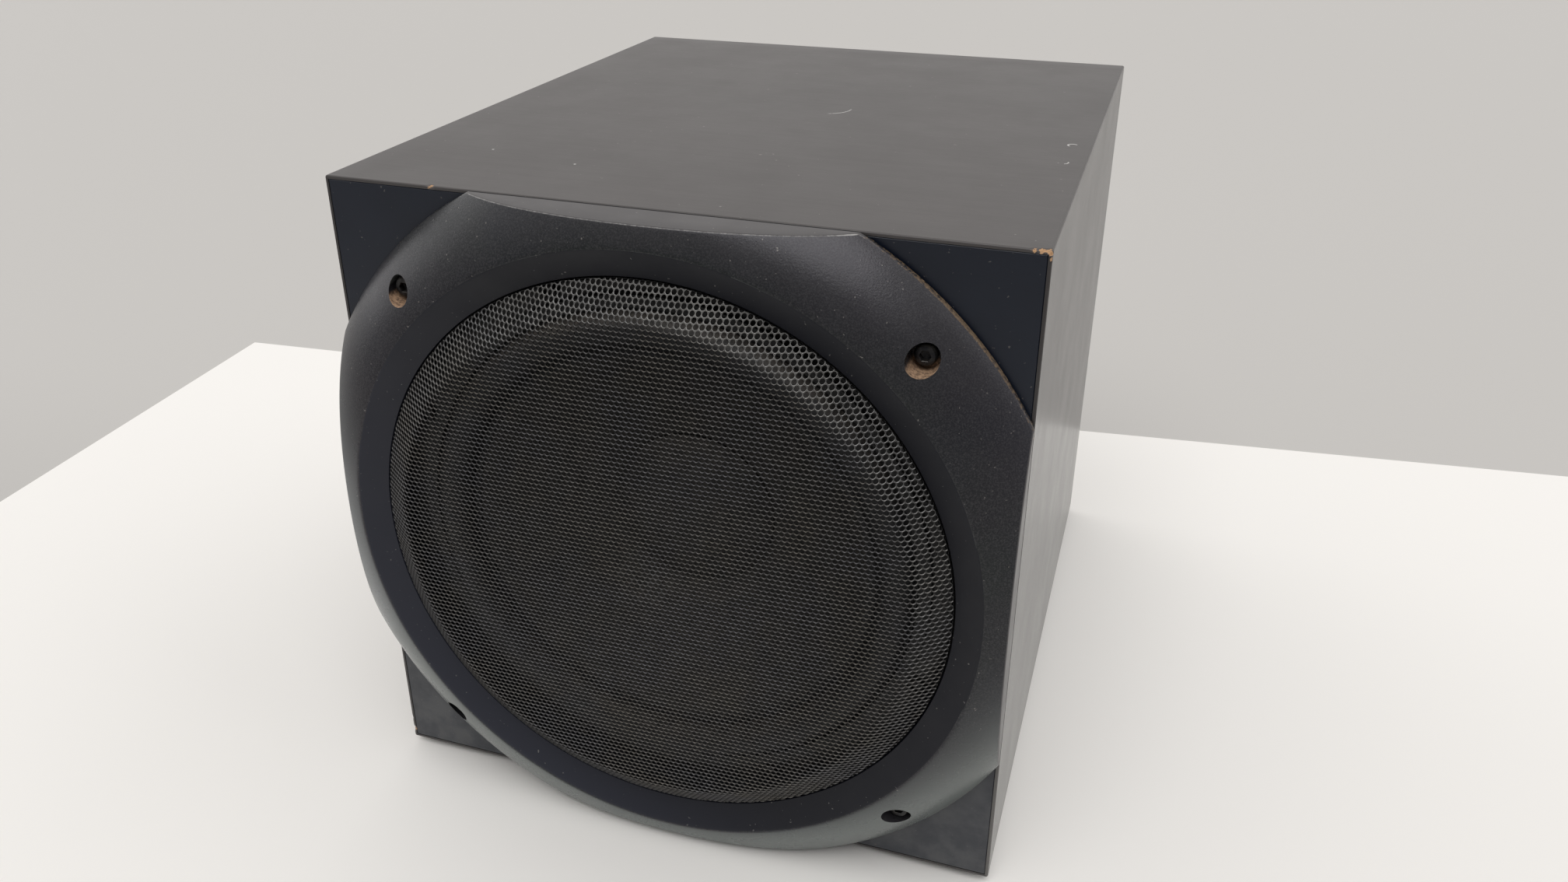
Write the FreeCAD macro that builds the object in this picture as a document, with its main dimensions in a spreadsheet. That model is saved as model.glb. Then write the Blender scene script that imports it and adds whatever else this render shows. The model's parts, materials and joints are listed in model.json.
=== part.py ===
import FreeCAD, Part
import math
import os
import Sketcher

# A ported subwoofer with its amplifier, in millimetres. The whole object stands on the floor at
# z = 0, centred on x = 0 and y = 0. Its front faces -Y and its top faces +Z.

doc = FreeCAD.newDocument("Subwoofer")
sheet = doc.addObject("Spreadsheet::Sheet", "Dims")
vec = FreeCAD.Vector

DRIVING = (
    # cabinet
    ("cabinet_width", 307), ("cabinet_height", 307), ("cabinet_depth", 353), ("board_thickness", 15),
    ("front_lip", 1.5), ("rear_recess", 22), ("foot_height", 4), ("foot_radius", 12.5), ("foot_inset", 26),
    # bezel, its gasket and screws
    ("bezel_radius", 174.4), ("bezel_lip", 3), ("crown_radius", 144), ("crown_rise", 23.6),
    ("bezel_curve", 56), ("bezel_wall", 3), ("bezel_gasket_height", 1), ("bezel_screw_spacing", 224),
    ("bezel_hole_radius", 6.25), ("bezel_seat", 8), ("bezel_boss_radius", 8.6),
    # grille
    ("grille_radius", 131.4), ("grille_seat", 15.9), ("grille_rise", 31), ("grille_sheet", 1),
    ("shoulder_radius", 116.7), ("shoulder_rise", 29.2), ("grille_flange", 8.8),
    # driver, measured back from the front plane
    ("cutout_radius", 116), ("flange_radius", 129), ("flange_thickness", 3.5), ("basket_plate", 78),
    ("driver_screw_circle", 124.5), ("coil_radius", 24.6), ("pole_radius", 24), ("gap_radius", 27.4),
    ("top_plate_thickness", 8), ("magnet_thickness", 22), ("magnet_radius", 70), ("back_plate_thickness", 8),
    ("cone_edge", 97), ("roll_radius", 8.5), ("roll_centre", 104), ("cap_radius", 38.4), ("cap_crown", -17),
    ("cap_rise", 13.1),
    # port
    ("port_radius", 38.5), ("port_wall", 2.5), ("port_length", 150), ("port_back", 191), ("port_drop", 45.5),
    ("port_flange", 62), ("port_flare_radius", 14),
    # amplifier plate and what it carries
    ("plate_width", 230), ("plate_height", 244), ("plate_thickness", 3), ("plate_gasket", 1),
    ("window_width", 200), ("window_height", 220), ("sink_width", 190), ("sink_height", 100),
    ("sink_base", 4), ("fin_thickness", 2.2), ("fin_pitch", 10), ("fin_count", 19),
    ("block_across", -30), ("block_up", -36), ("pair_pitch", 24), ("row_pitch", 19), ("lever_width", 16.2),
    ("socket_across", 74), ("socket_up", -36), ("switch_across", -78), ("fuse_across", -34),
    ("inlet_across", 52), ("power_row", -90), ("standoff_length", 27.4), ("board_width", 180),
    ("transformer_radius", 52), ("transformer_height", 45), ("transformer_across", 74),
    ("transformer_back", 62),
)


class Size:
    """A number that remembers the sheet expression it comes from."""

    def __init__(self, value, text):
        self.value = value
        self.text = text

    def __add__(self, other):
        return Size(self.value + number(other), f"({self.text} + {text(other)})")

    def __radd__(self, other):
        return Size(number(other) + self.value, f"({text(other)} + {self.text})")

    def __sub__(self, other):
        return Size(self.value - number(other), f"({self.text} - {text(other)})")

    def __rsub__(self, other):
        return Size(number(other) - self.value, f"({text(other)} - {self.text})")

    def __mul__(self, other):
        return Size(self.value * number(other), f"({self.text} * {text(other)})")

    def __rmul__(self, other):
        return self * other

    def __truediv__(self, other):
        return Size(self.value / number(other), f"({self.text} / {text(other)})")

    def __neg__(self):
        return Size(-self.value, f"(0 - {self.text})")


class Sizes:
    """The sheet's cells, each one an attribute that is a Size."""


def number(size):
    return size.value if isinstance(size, Size) else float(size)


def text(size):
    return size.text if isinstance(size, Size) else f"{float(size):.6f}"


def fill_sheet():
    """Write the driving dimensions as plain numbers with aliases, and return them as Sizes."""
    sizes = Sizes()
    for row, (alias, value) in enumerate(DRIVING, start=1):
        sheet.set(f"A{row}", alias)
        sheet.set(f"B{row}", str(value))
        sheet.setAlias(f"B{row}", alias)
        setattr(sizes, alias, Size(float(value), f"Dims.{alias}"))
    doc.recompute()
    return sizes


D = fill_sheet()
ZERO = Size(0, "0")

# Heights and planes that many pieces share.
half_width = D.cabinet_width / 2
half_height = D.cabinet_height / 2
axis_height = D.foot_height + half_height
front_plane = (D.grille_rise - D.cabinet_depth) / 2
rear_plane = (D.cabinet_depth + D.grille_rise) / 2
plate_face = D.plate_gasket + D.plate_thickness
basket_back = -D.basket_plate
coil_outer = D.coil_radius + 1.9

# The local frames: +z of the piece looks to the front, the rear or the left, with +y up.
FRONT = FreeCAD.Rotation(vec(1, 0, 0), 90)
REAR = FreeCAD.Rotation(vec(0, 0, 1), 180) * FRONT
LEFT = FreeCAD.Rotation(vec(0, 0, 1), -90) * FRONT
UPRIGHT = FreeCAD.Rotation()
FRONT_ORIGIN = (0, front_plane, axis_height)
REAR_ORIGIN = (0, rear_plane - D.rear_recess, axis_height)
PORT_ORIGIN = (-half_width, front_plane + D.port_back, axis_height - D.port_drop)

subparts = []


# ---------------------------------------------------------------- helpers


def bind(thing, name, size):
    """Tie a property to the sheet when its size comes from there."""
    if isinstance(size, Size):
        thing.setExpression(name, size.text)


def place(piece, origin, turn):
    """Put a piece at origin, turned by the rotation turn."""
    piece.Placement = FreeCAD.Placement(vec(*[number(part) for part in origin]), turn)
    for letter, part in zip("xyz", origin):
        bind(piece, f"Placement.Base.{letter}", part)


def finish(piece, origin, turn=UPRIGHT):
    """Place a finished piece and count it as a sub-part."""
    place(piece, origin, turn)
    subparts.append(piece)
    return piece


def new_body(label, several=False):
    body = doc.addObject("PartDesign::Body", label)
    body.Label = label
    body.AllowCompound = several
    return body


def origin_feature(body, role):
    return [item for item in body.Origin.OriginFeatures if item.Role == role][0]


def sketch_on(body, plane, offset=0):
    """A sketch on one of the body's origin planes, moved along that plane's normal by offset."""
    sketch = body.newObject("Sketcher::SketchObject", f"{body.Label}_sketch")
    sketch.AttachmentSupport = [(origin_feature(body, plane), "")]
    sketch.MapMode = "FlatFace"
    sketch.AttachmentOffset = FreeCAD.Placement(vec(0, 0, number(offset)), UPRIGHT)
    bind(sketch, "AttachmentOffset.Base.z", offset)
    return sketch


def hold(sketch, geometry, point, across, up):
    """Fix one point of a sketch by its distances from the sketch's origin."""
    for kind, size in (("DistanceX", across), ("DistanceY", up)):
        index = sketch.addConstraint(Sketcher.Constraint(kind, -1, 1, geometry, point, number(size)))
        bind(sketch, f"Constraints[{index}]", size)


def add_side(sketch, here, there):
    """One side of an outline: straight, or an arc when the point it starts from carries a radius.

    A positive radius bends the side to the right of its direction, a negative one to the left. The answer is
    the side's index and which of its ends lie at here and there.
    """
    start = vec(number(here[0]), number(here[1]), 0)
    end = vec(number(there[0]), number(there[1]), 0)
    if len(here) == 2:
        return sketch.addGeometry(Part.LineSegment(start, end)), 1, 2
    bend = number(here[2])
    chord = end - start
    left = vec(-chord.y, chord.x, 0).normalize()
    reach = math.sqrt(bend * bend - chord.Length**2 / 4)
    centre = start + chord * 0.5 - left * math.copysign(reach, -bend)
    if bend < 0:
        start, end = end, start
    circle = Part.Circle(centre, vec(0, 0, 1), abs(bend))
    arc = Part.ArcOfCircle(circle, circle.parameter(start), circle.parameter(end))
    index = sketch.addGeometry(arc)
    radius = sketch.addConstraint(Sketcher.Constraint("Radius", index, abs(bend)))
    if isinstance(here[2], Size):
        bind(sketch, f"Constraints[{radius}]", here[2] if bend > 0 else -here[2])
    return (index, 1, 2) if bend > 0 else (index, 2, 1)


def outline(sketch, points):
    """A closed outline through points, each (across, up) or (across, up, radius of the side that follows)."""
    sides = [add_side(sketch, point, points[(i + 1) % len(points)]) for i, point in enumerate(points)]
    for i, (side, first, last) in enumerate(sides):
        following, following_first, _ = sides[(i + 1) % len(sides)]
        sketch.addConstraint(Sketcher.Constraint("Coincident", side, last, following, following_first))
        hold(sketch, side, first, points[i][0], points[i][1])


def rectangle(sketch, across, up, width, height):
    """A rectangle of width by height, centred on (across, up)."""
    left, right = across - width / 2, across + width / 2
    low, high = up - height / 2, up + height / 2
    outline(sketch, [(left, low), (right, low), (right, high), (left, high)])


def circles(sketch, spots, radius):
    """A circle of one radius at each of the spots."""
    for across, up in spots:
        centre = vec(number(across), number(up), 0)
        index = sketch.addGeometry(Part.Circle(centre, vec(0, 0, 1), number(radius)))
        size = sketch.addConstraint(Sketcher.Constraint("Radius", index, number(radius)))
        bind(sketch, f"Constraints[{size}]", radius)
        hold(sketch, index, 3, across, up)


def dome(radius, height):
    """The radius of a sphere centred on the axis that rises by height within radius of it."""
    return (radius * radius + height * height) / (height * 2)


def hexagon(across, up, radius):
    """The corners of a hexagon about a point."""
    turns = [math.radians(60 * corner) for corner in range(6)]
    return [(across + radius * math.cos(turn), up + radius * math.sin(turn)) for turn in turns]


def add_feature(body, kind, sketch, backwards=False):
    feature = body.newObject(kind, f"{body.Label}_{kind.split('::')[1].lower()}")
    feature.Profile = sketch
    feature.Reversed = backwards
    body.Tip = feature
    return feature


def pad(body, sketch, length, backwards=False):
    """Grow the sketch along its normal, or against it when backwards."""
    feature = add_feature(body, "PartDesign::Pad", sketch, backwards)
    feature.Length = number(length)
    bind(feature, "Length", length)
    doc.recompute()
    return feature


def pocket(body, sketch, depth, forwards=False):
    """Cut the sketch into the body against its normal, or along it when forwards."""
    doc.recompute()
    before = body.Shape.Volume
    feature = add_feature(body, "PartDesign::Pocket", sketch, forwards)
    feature.Length = number(depth)
    bind(feature, "Length", depth)
    doc.recompute()
    if body.Shape.Volume > before - 0.01:
        raise RuntimeError(f"{feature.Name} cuts nothing")
    return feature


def turned(label, points):
    """A body turned about its local z axis from an outline of (radius, height) points."""
    body = new_body(label)
    sketch = sketch_on(body, "XZ_Plane")
    outline(sketch, points)
    feature = add_feature(body, "PartDesign::Revolution", sketch)
    feature.ReferenceAxis = (sketch, ["V_Axis"])
    feature.Angle = 360
    doc.recompute()
    return body


def plate(label, low, high, width, height, across=0, up=0):
    """A rectangular board between the local heights low and high."""
    body = new_body(label)
    sketch = sketch_on(body, "XY_Plane", low)
    rectangle(sketch, across, up, width, height)
    pad(body, sketch, high - low)
    return body


def add_block(body, low, high, width, height, across=0, up=0):
    """Pad one more rectangular block onto a body."""
    sketch = sketch_on(body, "XY_Plane", low)
    rectangle(sketch, across, up, width, height)
    return pad(body, sketch, high - low)


def cut_block(body, high, depth, width, height, across=0, up=0):
    """Cut a rectangular hole that starts at the local height high."""
    sketch = sketch_on(body, "XY_Plane", high)
    rectangle(sketch, across, up, width, height)
    return pocket(body, sketch, depth)


def drill(body, high, depth, spots, radius):
    """Cut equal round holes that start at the local height high."""
    sketch = sketch_on(body, "XY_Plane", high)
    circles(sketch, spots, radius)
    return pocket(body, sketch, depth)


def ring_of(count, radius, first=0.0):
    """Equally spaced spots on a circle, from the angle first in degrees."""
    turns = [math.radians(first + 360 * i / count) for i in range(count)]
    return [(radius * math.cos(turn), radius * math.sin(turn)) for turn in turns]


def corners_of(width, height):
    """The four corners of a rectangle centred on the local origin."""
    return [(side * width / 2, rise * height / 2) for side in (-1, 1) for rise in (-1, 1)]


def screws(label, spots, seat, head_radius, head_height, shank_radius, length, socket_radius):
    """A node of equal screws along the local z axis, with heads that stand on seat and hexagon sockets."""
    body = new_body(label, several=True)
    heads = sketch_on(body, "XY_Plane", seat)
    circles(heads, spots, head_radius)
    pad(body, heads, head_height)
    shanks = sketch_on(body, "XY_Plane", seat)
    circles(shanks, spots, shank_radius)
    pad(body, shanks, length, backwards=True)
    sockets = sketch_on(body, "XY_Plane", seat + head_height)
    for across, up in spots:
        outline(sockets, hexagon(across, up, socket_radius))
    pocket(body, sockets, head_height * 0.55)
    return body


# ---------------------------------------------------------------- cabinet


def wrap_panel(label, span, rise, spin):
    """One of the four boards of the case, mitred at both ends, with a lip in front that frames the baffle."""
    body = new_body(label)
    thick = D.board_thickness
    sketch = sketch_on(body, "XY_Plane")
    outline(sketch, [(-span, rise), (thick - span, rise - thick), (span - thick, rise - thick), (span, rise)])
    pad(body, sketch, D.cabinet_depth, backwards=True)
    rebate = sketch_on(body, "XY_Plane")
    rectangle(rebate, 0, rise - D.front_lip - thick / 2, (span - D.front_lip) * 2, thick)
    pocket(body, rebate, D.board_thickness)
    finish(body, FRONT_ORIGIN, FRONT * FreeCAD.Rotation(vec(0, 0, 1), spin))
    return body


def drill_panel(body, rise, depth, spots, radius):
    """Round holes through a case board, each spot being (along the board, back from the front plane)."""
    sketch = sketch_on(body, "XZ_Plane", -rise)
    circles(sketch, spots, radius)
    return pocket(body, sketch, depth, forwards=True)


def foot_spots():
    """The feet as (across, back from the front plane)."""
    across = half_width - D.foot_inset
    near, far = D.foot_inset, D.cabinet_depth - D.foot_inset
    return [(side * across, back) for side in (-1, 1) for back in (near, far)]


def transformer_spot():
    return D.transformer_across, front_plane + D.transformer_back + D.cabinet_depth / 2


def case_boards():
    wrap_panel("top_panel", half_width, half_height, 0)
    wrap_panel("right_panel", half_height, half_width, -90)
    left = wrap_panel("left_panel", half_height, half_width, 90)
    port_spot = [(-D.port_drop, -D.port_back)]
    drill_panel(left, half_width, 3, port_spot, D.port_flange + 0.1)
    drill_panel(left, half_width, D.board_thickness + 1, port_spot, D.port_radius + D.port_wall + 3.6)
    bottom = wrap_panel("bottom_panel", half_width, half_height, 180)
    drill_panel(bottom, half_height, 12.5, [(-across, -back) for across, back in foot_spots()], 2.1)
    across, back = transformer_spot()
    bolt = [(-across, front_plane - back)]
    drill_panel(bottom, half_height - 3, D.board_thickness, bolt, 4.1)


def front_baffle():
    width, height = D.cabinet_width - D.front_lip * 2, D.cabinet_height - D.front_lip * 2
    body = plate("front_baffle", -D.board_thickness, ZERO, width, height)
    drill(body, 0, D.board_thickness, [(0, 0)], D.cutout_radius)
    drill(body, 0, 12, ring_of(8, D.driver_screw_circle, 22.5), 2.1)
    drill(body, 0, 14, corners_of(D.bezel_screw_spacing, D.bezel_screw_spacing), 2.6)
    finish(body, FRONT_ORIGIN, FRONT)


def rear_panel():
    width = D.cabinet_width - D.board_thickness * 2
    height = D.cabinet_height - D.board_thickness * 2
    body = plate("rear_panel", -D.board_thickness, ZERO, width, height)
    cut_block(body, 0, D.board_thickness, D.window_width, D.window_height)
    drill(body, 0, 12, plate_screw_spots(), 1.9)
    finish(body, REAR_ORIGIN, REAR)


def feet():
    """Four rubber feet, each with a screw sunk in it, under the bottom board."""
    spots = [(across, front_plane + back) for across, back in foot_spots()]
    rubber = new_body("rubber_feet", several=True)
    discs = sketch_on(rubber, "XY_Plane")
    circles(discs, spots, D.foot_radius)
    pad(rubber, discs, D.foot_height)
    sinks = sketch_on(rubber, "XY_Plane", D.foot_height / 2)
    circles(sinks, spots, 6)
    pocket(rubber, sinks, D.foot_height / 2)
    drill(rubber, D.foot_height, D.foot_height, spots, 2.4)
    finish(rubber, (0, 0, 0))
    below = FreeCAD.Rotation(vec(1, 0, 0), 180)
    turned_over = [(across, -back) for across, back in spots]
    fixings = screws("foot_screws", turned_over, -D.foot_height / 2, 4.4, 1.4, 2, 13.6, 1.6)
    finish(fixings, (0, 0, 0), below)


# ---------------------------------------------------------------- port


def port():
    """The flared mouth let into the left board, and the tube with its flared inner end."""
    bore, wall, flare = D.port_radius, D.port_wall, D.port_flare_radius
    mouth = turned("port_flare", [
        (D.port_flange, 0), (D.port_flange, -2.9), (bore + wall + 3.5, -2.9), (bore + wall + 3.5, -24),
        (bore + wall + 0.1, -24), (bore + wall + 0.1, -flare), (bore, -flare, -flare), (bore + flare, 0),
    ])
    finish(mouth, PORT_ORIGIN, LEFT)
    end = -D.port_length
    tube = turned("port_tube", [
        (bore, -flare), (bore, end, flare), (bore + flare * 0.8, end - flare * 0.9165),
        (bore + flare * 0.8 + 2, end - flare * 0.78, -(flare - 2)), (bore + wall, end), (bore + wall, -flare),
    ])
    finish(tube, PORT_ORIGIN, LEFT)


# ---------------------------------------------------------------- bezel and grille


def cut_flats(body, inset, low, high):
    """Trim a round body to the case's four sides, less inset."""
    sketch = sketch_on(body, "XY_Plane", high)
    rectangle(sketch, 0, 0, D.bezel_radius * 3, D.bezel_radius * 3)
    rectangle(sketch, 0, 0, D.cabinet_width - inset * 2, D.cabinet_height - inset * 2)
    return pocket(body, sketch, high - low)


def front_bezel():
    """The round bezel: a hollow casting with a convex face, a dished inner rim and four flats."""
    spots = corners_of(D.bezel_screw_spacing, D.bezel_screw_spacing)
    foot, wall, rim, crown = D.bezel_gasket_height, D.bezel_wall, D.bezel_radius, D.crown_radius
    ring = turned("bezel_ring", [
        (rim, foot), (rim, D.bezel_lip, D.bezel_curve), (crown, D.crown_rise),
        (D.grille_radius, D.grille_seat + 2.5), (D.grille_radius, D.grille_seat),
        (D.grille_radius + 9.6, D.grille_seat), (D.grille_radius + 9.6, D.grille_seat - 3),
        (crown - 0.5, D.grille_seat - 3), (crown - 0.5, foot),
    ])
    cut_flats(ring, ZERO, 0, D.grille_rise)
    drill(ring, D.grille_rise, D.grille_rise - D.bezel_seat, spots, D.bezel_hole_radius)
    drill(ring, D.bezel_seat, D.bezel_seat, spots, 2.8)
    roof, inner_rim = D.crown_rise - 3.6, rim - wall - 1
    hollow = turned("bezel_hollow", [
        (inner_rim, 0), (inner_rim, D.bezel_lip - 0.2, D.bezel_curve - wall), (crown + 1.5, roof),
        (crown - 0.5, roof), (crown - 1, 0),
    ])
    cut_flats(hollow, wall, -1, D.grille_rise)
    drill(hollow, D.grille_rise, D.grille_rise + 1, spots, D.bezel_boss_radius)
    bezel = doc.addObject("Part::Cut", "front_bezel")
    bezel.Label = "front_bezel"
    bezel.Base = ring
    bezel.Tool = hollow
    finish(bezel, FRONT_ORIGIN, FRONT)


def bezel_fixings():
    spots = corners_of(D.bezel_screw_spacing, D.bezel_screw_spacing)
    inner, outer, high = D.crown_radius + 1, D.bezel_radius - 3, D.bezel_gasket_height
    gasket = turned("bezel_gasket", [(inner, 0), (outer, 0), (outer, high), (inner, high)])
    cut_flats(gasket, 2, -1, high)
    drill(gasket, high, high, spots, 3)
    finish(gasket, FRONT_ORIGIN, FRONT)
    finish(screws("bezel_screws", spots, D.bezel_seat, 4.6, 5, 2.5, 21, 2.3), FRONT_ORIGIN, FRONT)


def grille():
    """The domed steel grille, with a flat flange that the bezel's inner rim holds, and the ring behind it."""
    seat, sheet_metal, edge = D.grille_seat, D.grille_sheet, D.grille_radius - 0.5
    brim = edge + D.grille_flange
    shoulder, rise, inner = D.shoulder_radius, D.shoulder_rise, D.shoulder_radius - 0.3
    crown = D.grille_rise - rise
    screen = turned("grille", [
        (brim, seat - sheet_metal), (brim, seat), (edge, seat), (edge, seat + 2.9),
        (shoulder, rise, dome(shoulder, crown)), (0, D.grille_rise),
        (0, D.grille_rise - sheet_metal, -dome(inner, crown)), (inner, rise - sheet_metal),
        (edge - 0.9, seat + 2.2), (edge - 0.9, seat - sheet_metal),
    ])
    finish(screen, FRONT_ORIGIN, FRONT)
    low, high = seat - sheet_metal - 2, seat - sheet_metal
    retainer = turned("grille_retainer", [(edge, low), (brim, low), (brim, high), (edge, high)])
    finish(retainer, FRONT_ORIGIN, FRONT)


# ---------------------------------------------------------------- driver


def driver_basket():
    """The pressed steel frame, with six windows in its cone."""
    thick, cutout, back = D.flange_thickness, D.cutout_radius, basket_back
    body = turned("driver_basket", [
        (D.flange_radius, thick), (cutout - 4, thick), (cutout - 4, -14), (66, -62), (66, -66), (56, -66),
        (56, back + 2.5), (30, back + 2.5), (30, back), (58.5, back), (58.5, -68.5), (68.5, -68.5),
        (68.5, -63.2), (cutout - 1.5, -15), (cutout - 1.5, 0), (D.flange_radius, 0),
    ])
    sector = math.radians(21)
    inner, outer = 76, 107
    window = sketch_on(body, "XY_Plane", -8)
    outline(window, [
        (inner * math.cos(sector), -inner * math.sin(sector)),
        (outer * math.cos(sector), -outer * math.sin(sector), outer),
        (outer * math.cos(sector), outer * math.sin(sector)),
        (inner * math.cos(sector), inner * math.sin(sector), -inner),
    ])
    opening = pocket(body, window, 58)
    repeat = body.newObject("PartDesign::PolarPattern", "driver_basket_windows")
    repeat.Originals = [opening]
    repeat.Axis = (origin_feature(body, "Z_Axis"), [""])
    repeat.Angle = 360
    repeat.Occurrences = 6
    body.Tip = repeat
    drill(body, thick, thick, ring_of(8, D.driver_screw_circle, 22.5), 2.5)
    finish(body, FRONT_ORIGIN, FRONT)


def spider_points():
    """A corrugated disc of five waves, one sheet thick, between the former and the basket's shelf."""
    waves, cloth, crest, trough, base = 5, 0.8, 3.4, 0.76, -66
    inner, outer = D.coil_radius + 0.6, 65.5
    start, half_pitch = 33, 2.6
    bends = [(start + half_pitch * i, base + (crest if i % 2 else trough)) for i in range(2 * waves + 1)]
    under = [(inner, base + 1.2)] + bends + [(outer, base)]
    over = [(across, up + cloth) for across, up in reversed(under)]
    return under + over


def moving_parts():
    """The cone, its dust cap and the voice coil on its former."""
    neck, edge, top = D.coil_radius + 0.5, D.cone_edge, D.flange_thickness + 1.2
    finish(turned("cone", [
        (neck, -39.5), (edge - 6, top), (edge, top), (edge, top - 1.2), (edge - 5.4, top - 1.2),
        (neck, -41.3),
    ]), FRONT_ORIGIN, FRONT)
    crown, rise = D.cap_crown, D.cap_rise
    radius = D.cap_radius
    finish(turned("dust_cap", [
        (0, crown), (0, crown - 1, -dome(radius - 1.2, rise)), (radius - 1.2, crown - 1 - rise),
        (radius, crown - rise, dome(radius, rise)),
    ]), FRONT_ORIGIN, FRONT)
    finish(turned("voice_coil_former", [
        (D.coil_radius, -94), (D.coil_radius, -36), (D.coil_radius + 0.4, -36), (D.coil_radius + 0.4, -94),
    ]), FRONT_ORIGIN, FRONT)
    finish(turned("voice_coil", [
        (D.coil_radius + 0.4, -94), (D.coil_radius + 0.4, -70), (coil_outer, -70), (coil_outer, -94),
    ]), FRONT_ORIGIN, FRONT)


def suspension():
    """The rubber half-roll surround, the ring that clamps its rim, and the spider."""
    face, top = D.flange_thickness, D.flange_thickness + 1.2
    centre, roll = D.roll_centre, D.roll_radius
    finish(turned("surround", [
        (119.5, face), (119.5, top), (centre + roll, top, roll + 0.05), (centre - roll, top + 1),
        (92, top + 1), (92, top), (centre - roll + 1, top, -(roll - 0.9)), (centre + roll - 1, face),
    ]), FRONT_ORIGIN, FRONT)
    finish(turned("surround_clamp", [
        (centre + roll + 0.6, top), (119.5, top), (119.5, top + 2), (centre + roll + 1.4, top + 2),
    ]), FRONT_ORIGIN, FRONT)
    finish(turned("spider", spider_points()), FRONT_ORIGIN, FRONT)


def motor():
    """The magnet between its two steel plates, with a vented pole in the coil."""
    top_back = basket_back - D.top_plate_thickness
    magnet_back = top_back - D.magnet_thickness
    back = magnet_back - D.back_plate_thickness
    finish(turned("top_plate", [
        (D.gap_radius, top_back), (60, top_back), (60, basket_back), (D.gap_radius, basket_back),
    ]), FRONT_ORIGIN, FRONT)
    finish(turned("magnet", [
        (38, magnet_back), (D.magnet_radius, magnet_back), (D.magnet_radius, top_back), (38, top_back),
    ]), FRONT_ORIGIN, FRONT)
    finish(turned("back_plate_and_pole", [
        (9, back), (60, back), (64, back + 4), (64, magnet_back), (D.pole_radius, magnet_back),
        (D.pole_radius, basket_back - 1), (9, basket_back - 1),
    ]), FRONT_ORIGIN, FRONT)


def driver_connections():
    """The two solder tabs on their strip at the top of the basket's shelf, and the eight mounting screws."""
    strip = plate("driver_terminals", -68.4, -64.4, 22, 2.4, 0, 69.8)
    for side in (-1, 1):
        add_block(strip, -66.8, -66, 6.3, 9, side * 5.5, 75.4)
    finish(strip, FRONT_ORIGIN, FRONT)
    spots = ring_of(8, D.driver_screw_circle, 22.5)
    finish(screws("driver_screws", spots, D.flange_thickness, 4, 3, 2, 15, 1.8), FRONT_ORIGIN, FRONT)


# ---------------------------------------------------------------- amplifier plate


def plate_screw_spots():
    """Eight screws round the amplifier plate: its corners and the middle of each side."""
    width, height = D.plate_width - 14, D.plate_height - 14
    middles = [(side * width / 2, 0) for side in (-1, 1)] + [(0, side * height / 2) for side in (-1, 1)]
    return corners_of(width, height) + middles


def plate_and_sink():
    plate_back = D.plate_gasket
    body = plate("amp_plate", plate_back, plate_face, D.plate_width, D.plate_height)
    drill(body, plate_face, D.plate_thickness, plate_screw_spots(), 2.2)
    for width, height, across, up in (
        (block_width() - 8, block_height() - 8, D.block_across, D.block_up),
        (20, 11, D.socket_across, D.socket_up),
        (15.4, 21.4, D.switch_across, D.power_row),
        (29.4, 22.4, D.inlet_across, D.power_row),
    ):
        cut_block(body, plate_face, D.plate_thickness, width, height, across, up)
    drill(body, plate_face, D.plate_thickness, [(D.fuse_across, D.power_row)], 6.5)
    finish(body, REAR_ORIGIN, REAR)

    gasket = plate("amp_gasket", ZERO, D.plate_gasket, D.plate_width - 1, D.plate_height - 1)
    cut_block(gasket, D.plate_gasket, D.plate_gasket, D.window_width, D.window_height)
    drill(gasket, D.plate_gasket, D.plate_gasket, plate_screw_spots(), 2.4)
    finish(gasket, REAR_ORIGIN, REAR)
    finish(screws("amp_screws", plate_screw_spots(), plate_face, 3.6, 2.4, 1.8, 14, 1.5), REAR_ORIGIN, REAR)

    sink_up = D.sink_height / 2 + 8
    root = plate_face + D.sink_base
    sink = plate("heat_sink", plate_face, root, D.sink_width, D.sink_height, 0, sink_up)
    first = -D.fin_pitch * (D.fin_count - 1) / 2
    fin = add_block(sink, root, D.rear_recess, D.fin_thickness, D.sink_height, first, sink_up)
    fins = sink.newObject("PartDesign::LinearPattern", "heat_sink_fins")
    fins.Originals = [fin]
    fins.Direction = (origin_feature(sink, "X_Axis"), [""])
    bind(fins, "Length", D.fin_pitch * (D.fin_count - 1))
    bind(fins, "Occurrences", D.fin_count)
    sink.Tip = fins
    finish(sink, REAR_ORIGIN, REAR)


# ---------------------------------------------------------------- speaker terminals


def block_width():
    return D.pair_pitch * 5 + 6


def block_height():
    return D.row_pitch * 2 + 6


def pivot_spots():
    """Each lever's pivot as (name, across, up): the upper row is positive and the lower row is negative."""
    spots = []
    for row, rise in (("positive", 0.5), ("negative", -0.5)):
        for pair in range(5):
            across = D.block_across + D.pair_pitch * (pair - 2)
            up = D.block_up + D.row_pitch * rise - 5.2
            spots.append((f"{row}_lever_{pair + 1}", across, up))
    return spots


BLOCK_FACE = 16
PIVOT_RISE = 11


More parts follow.
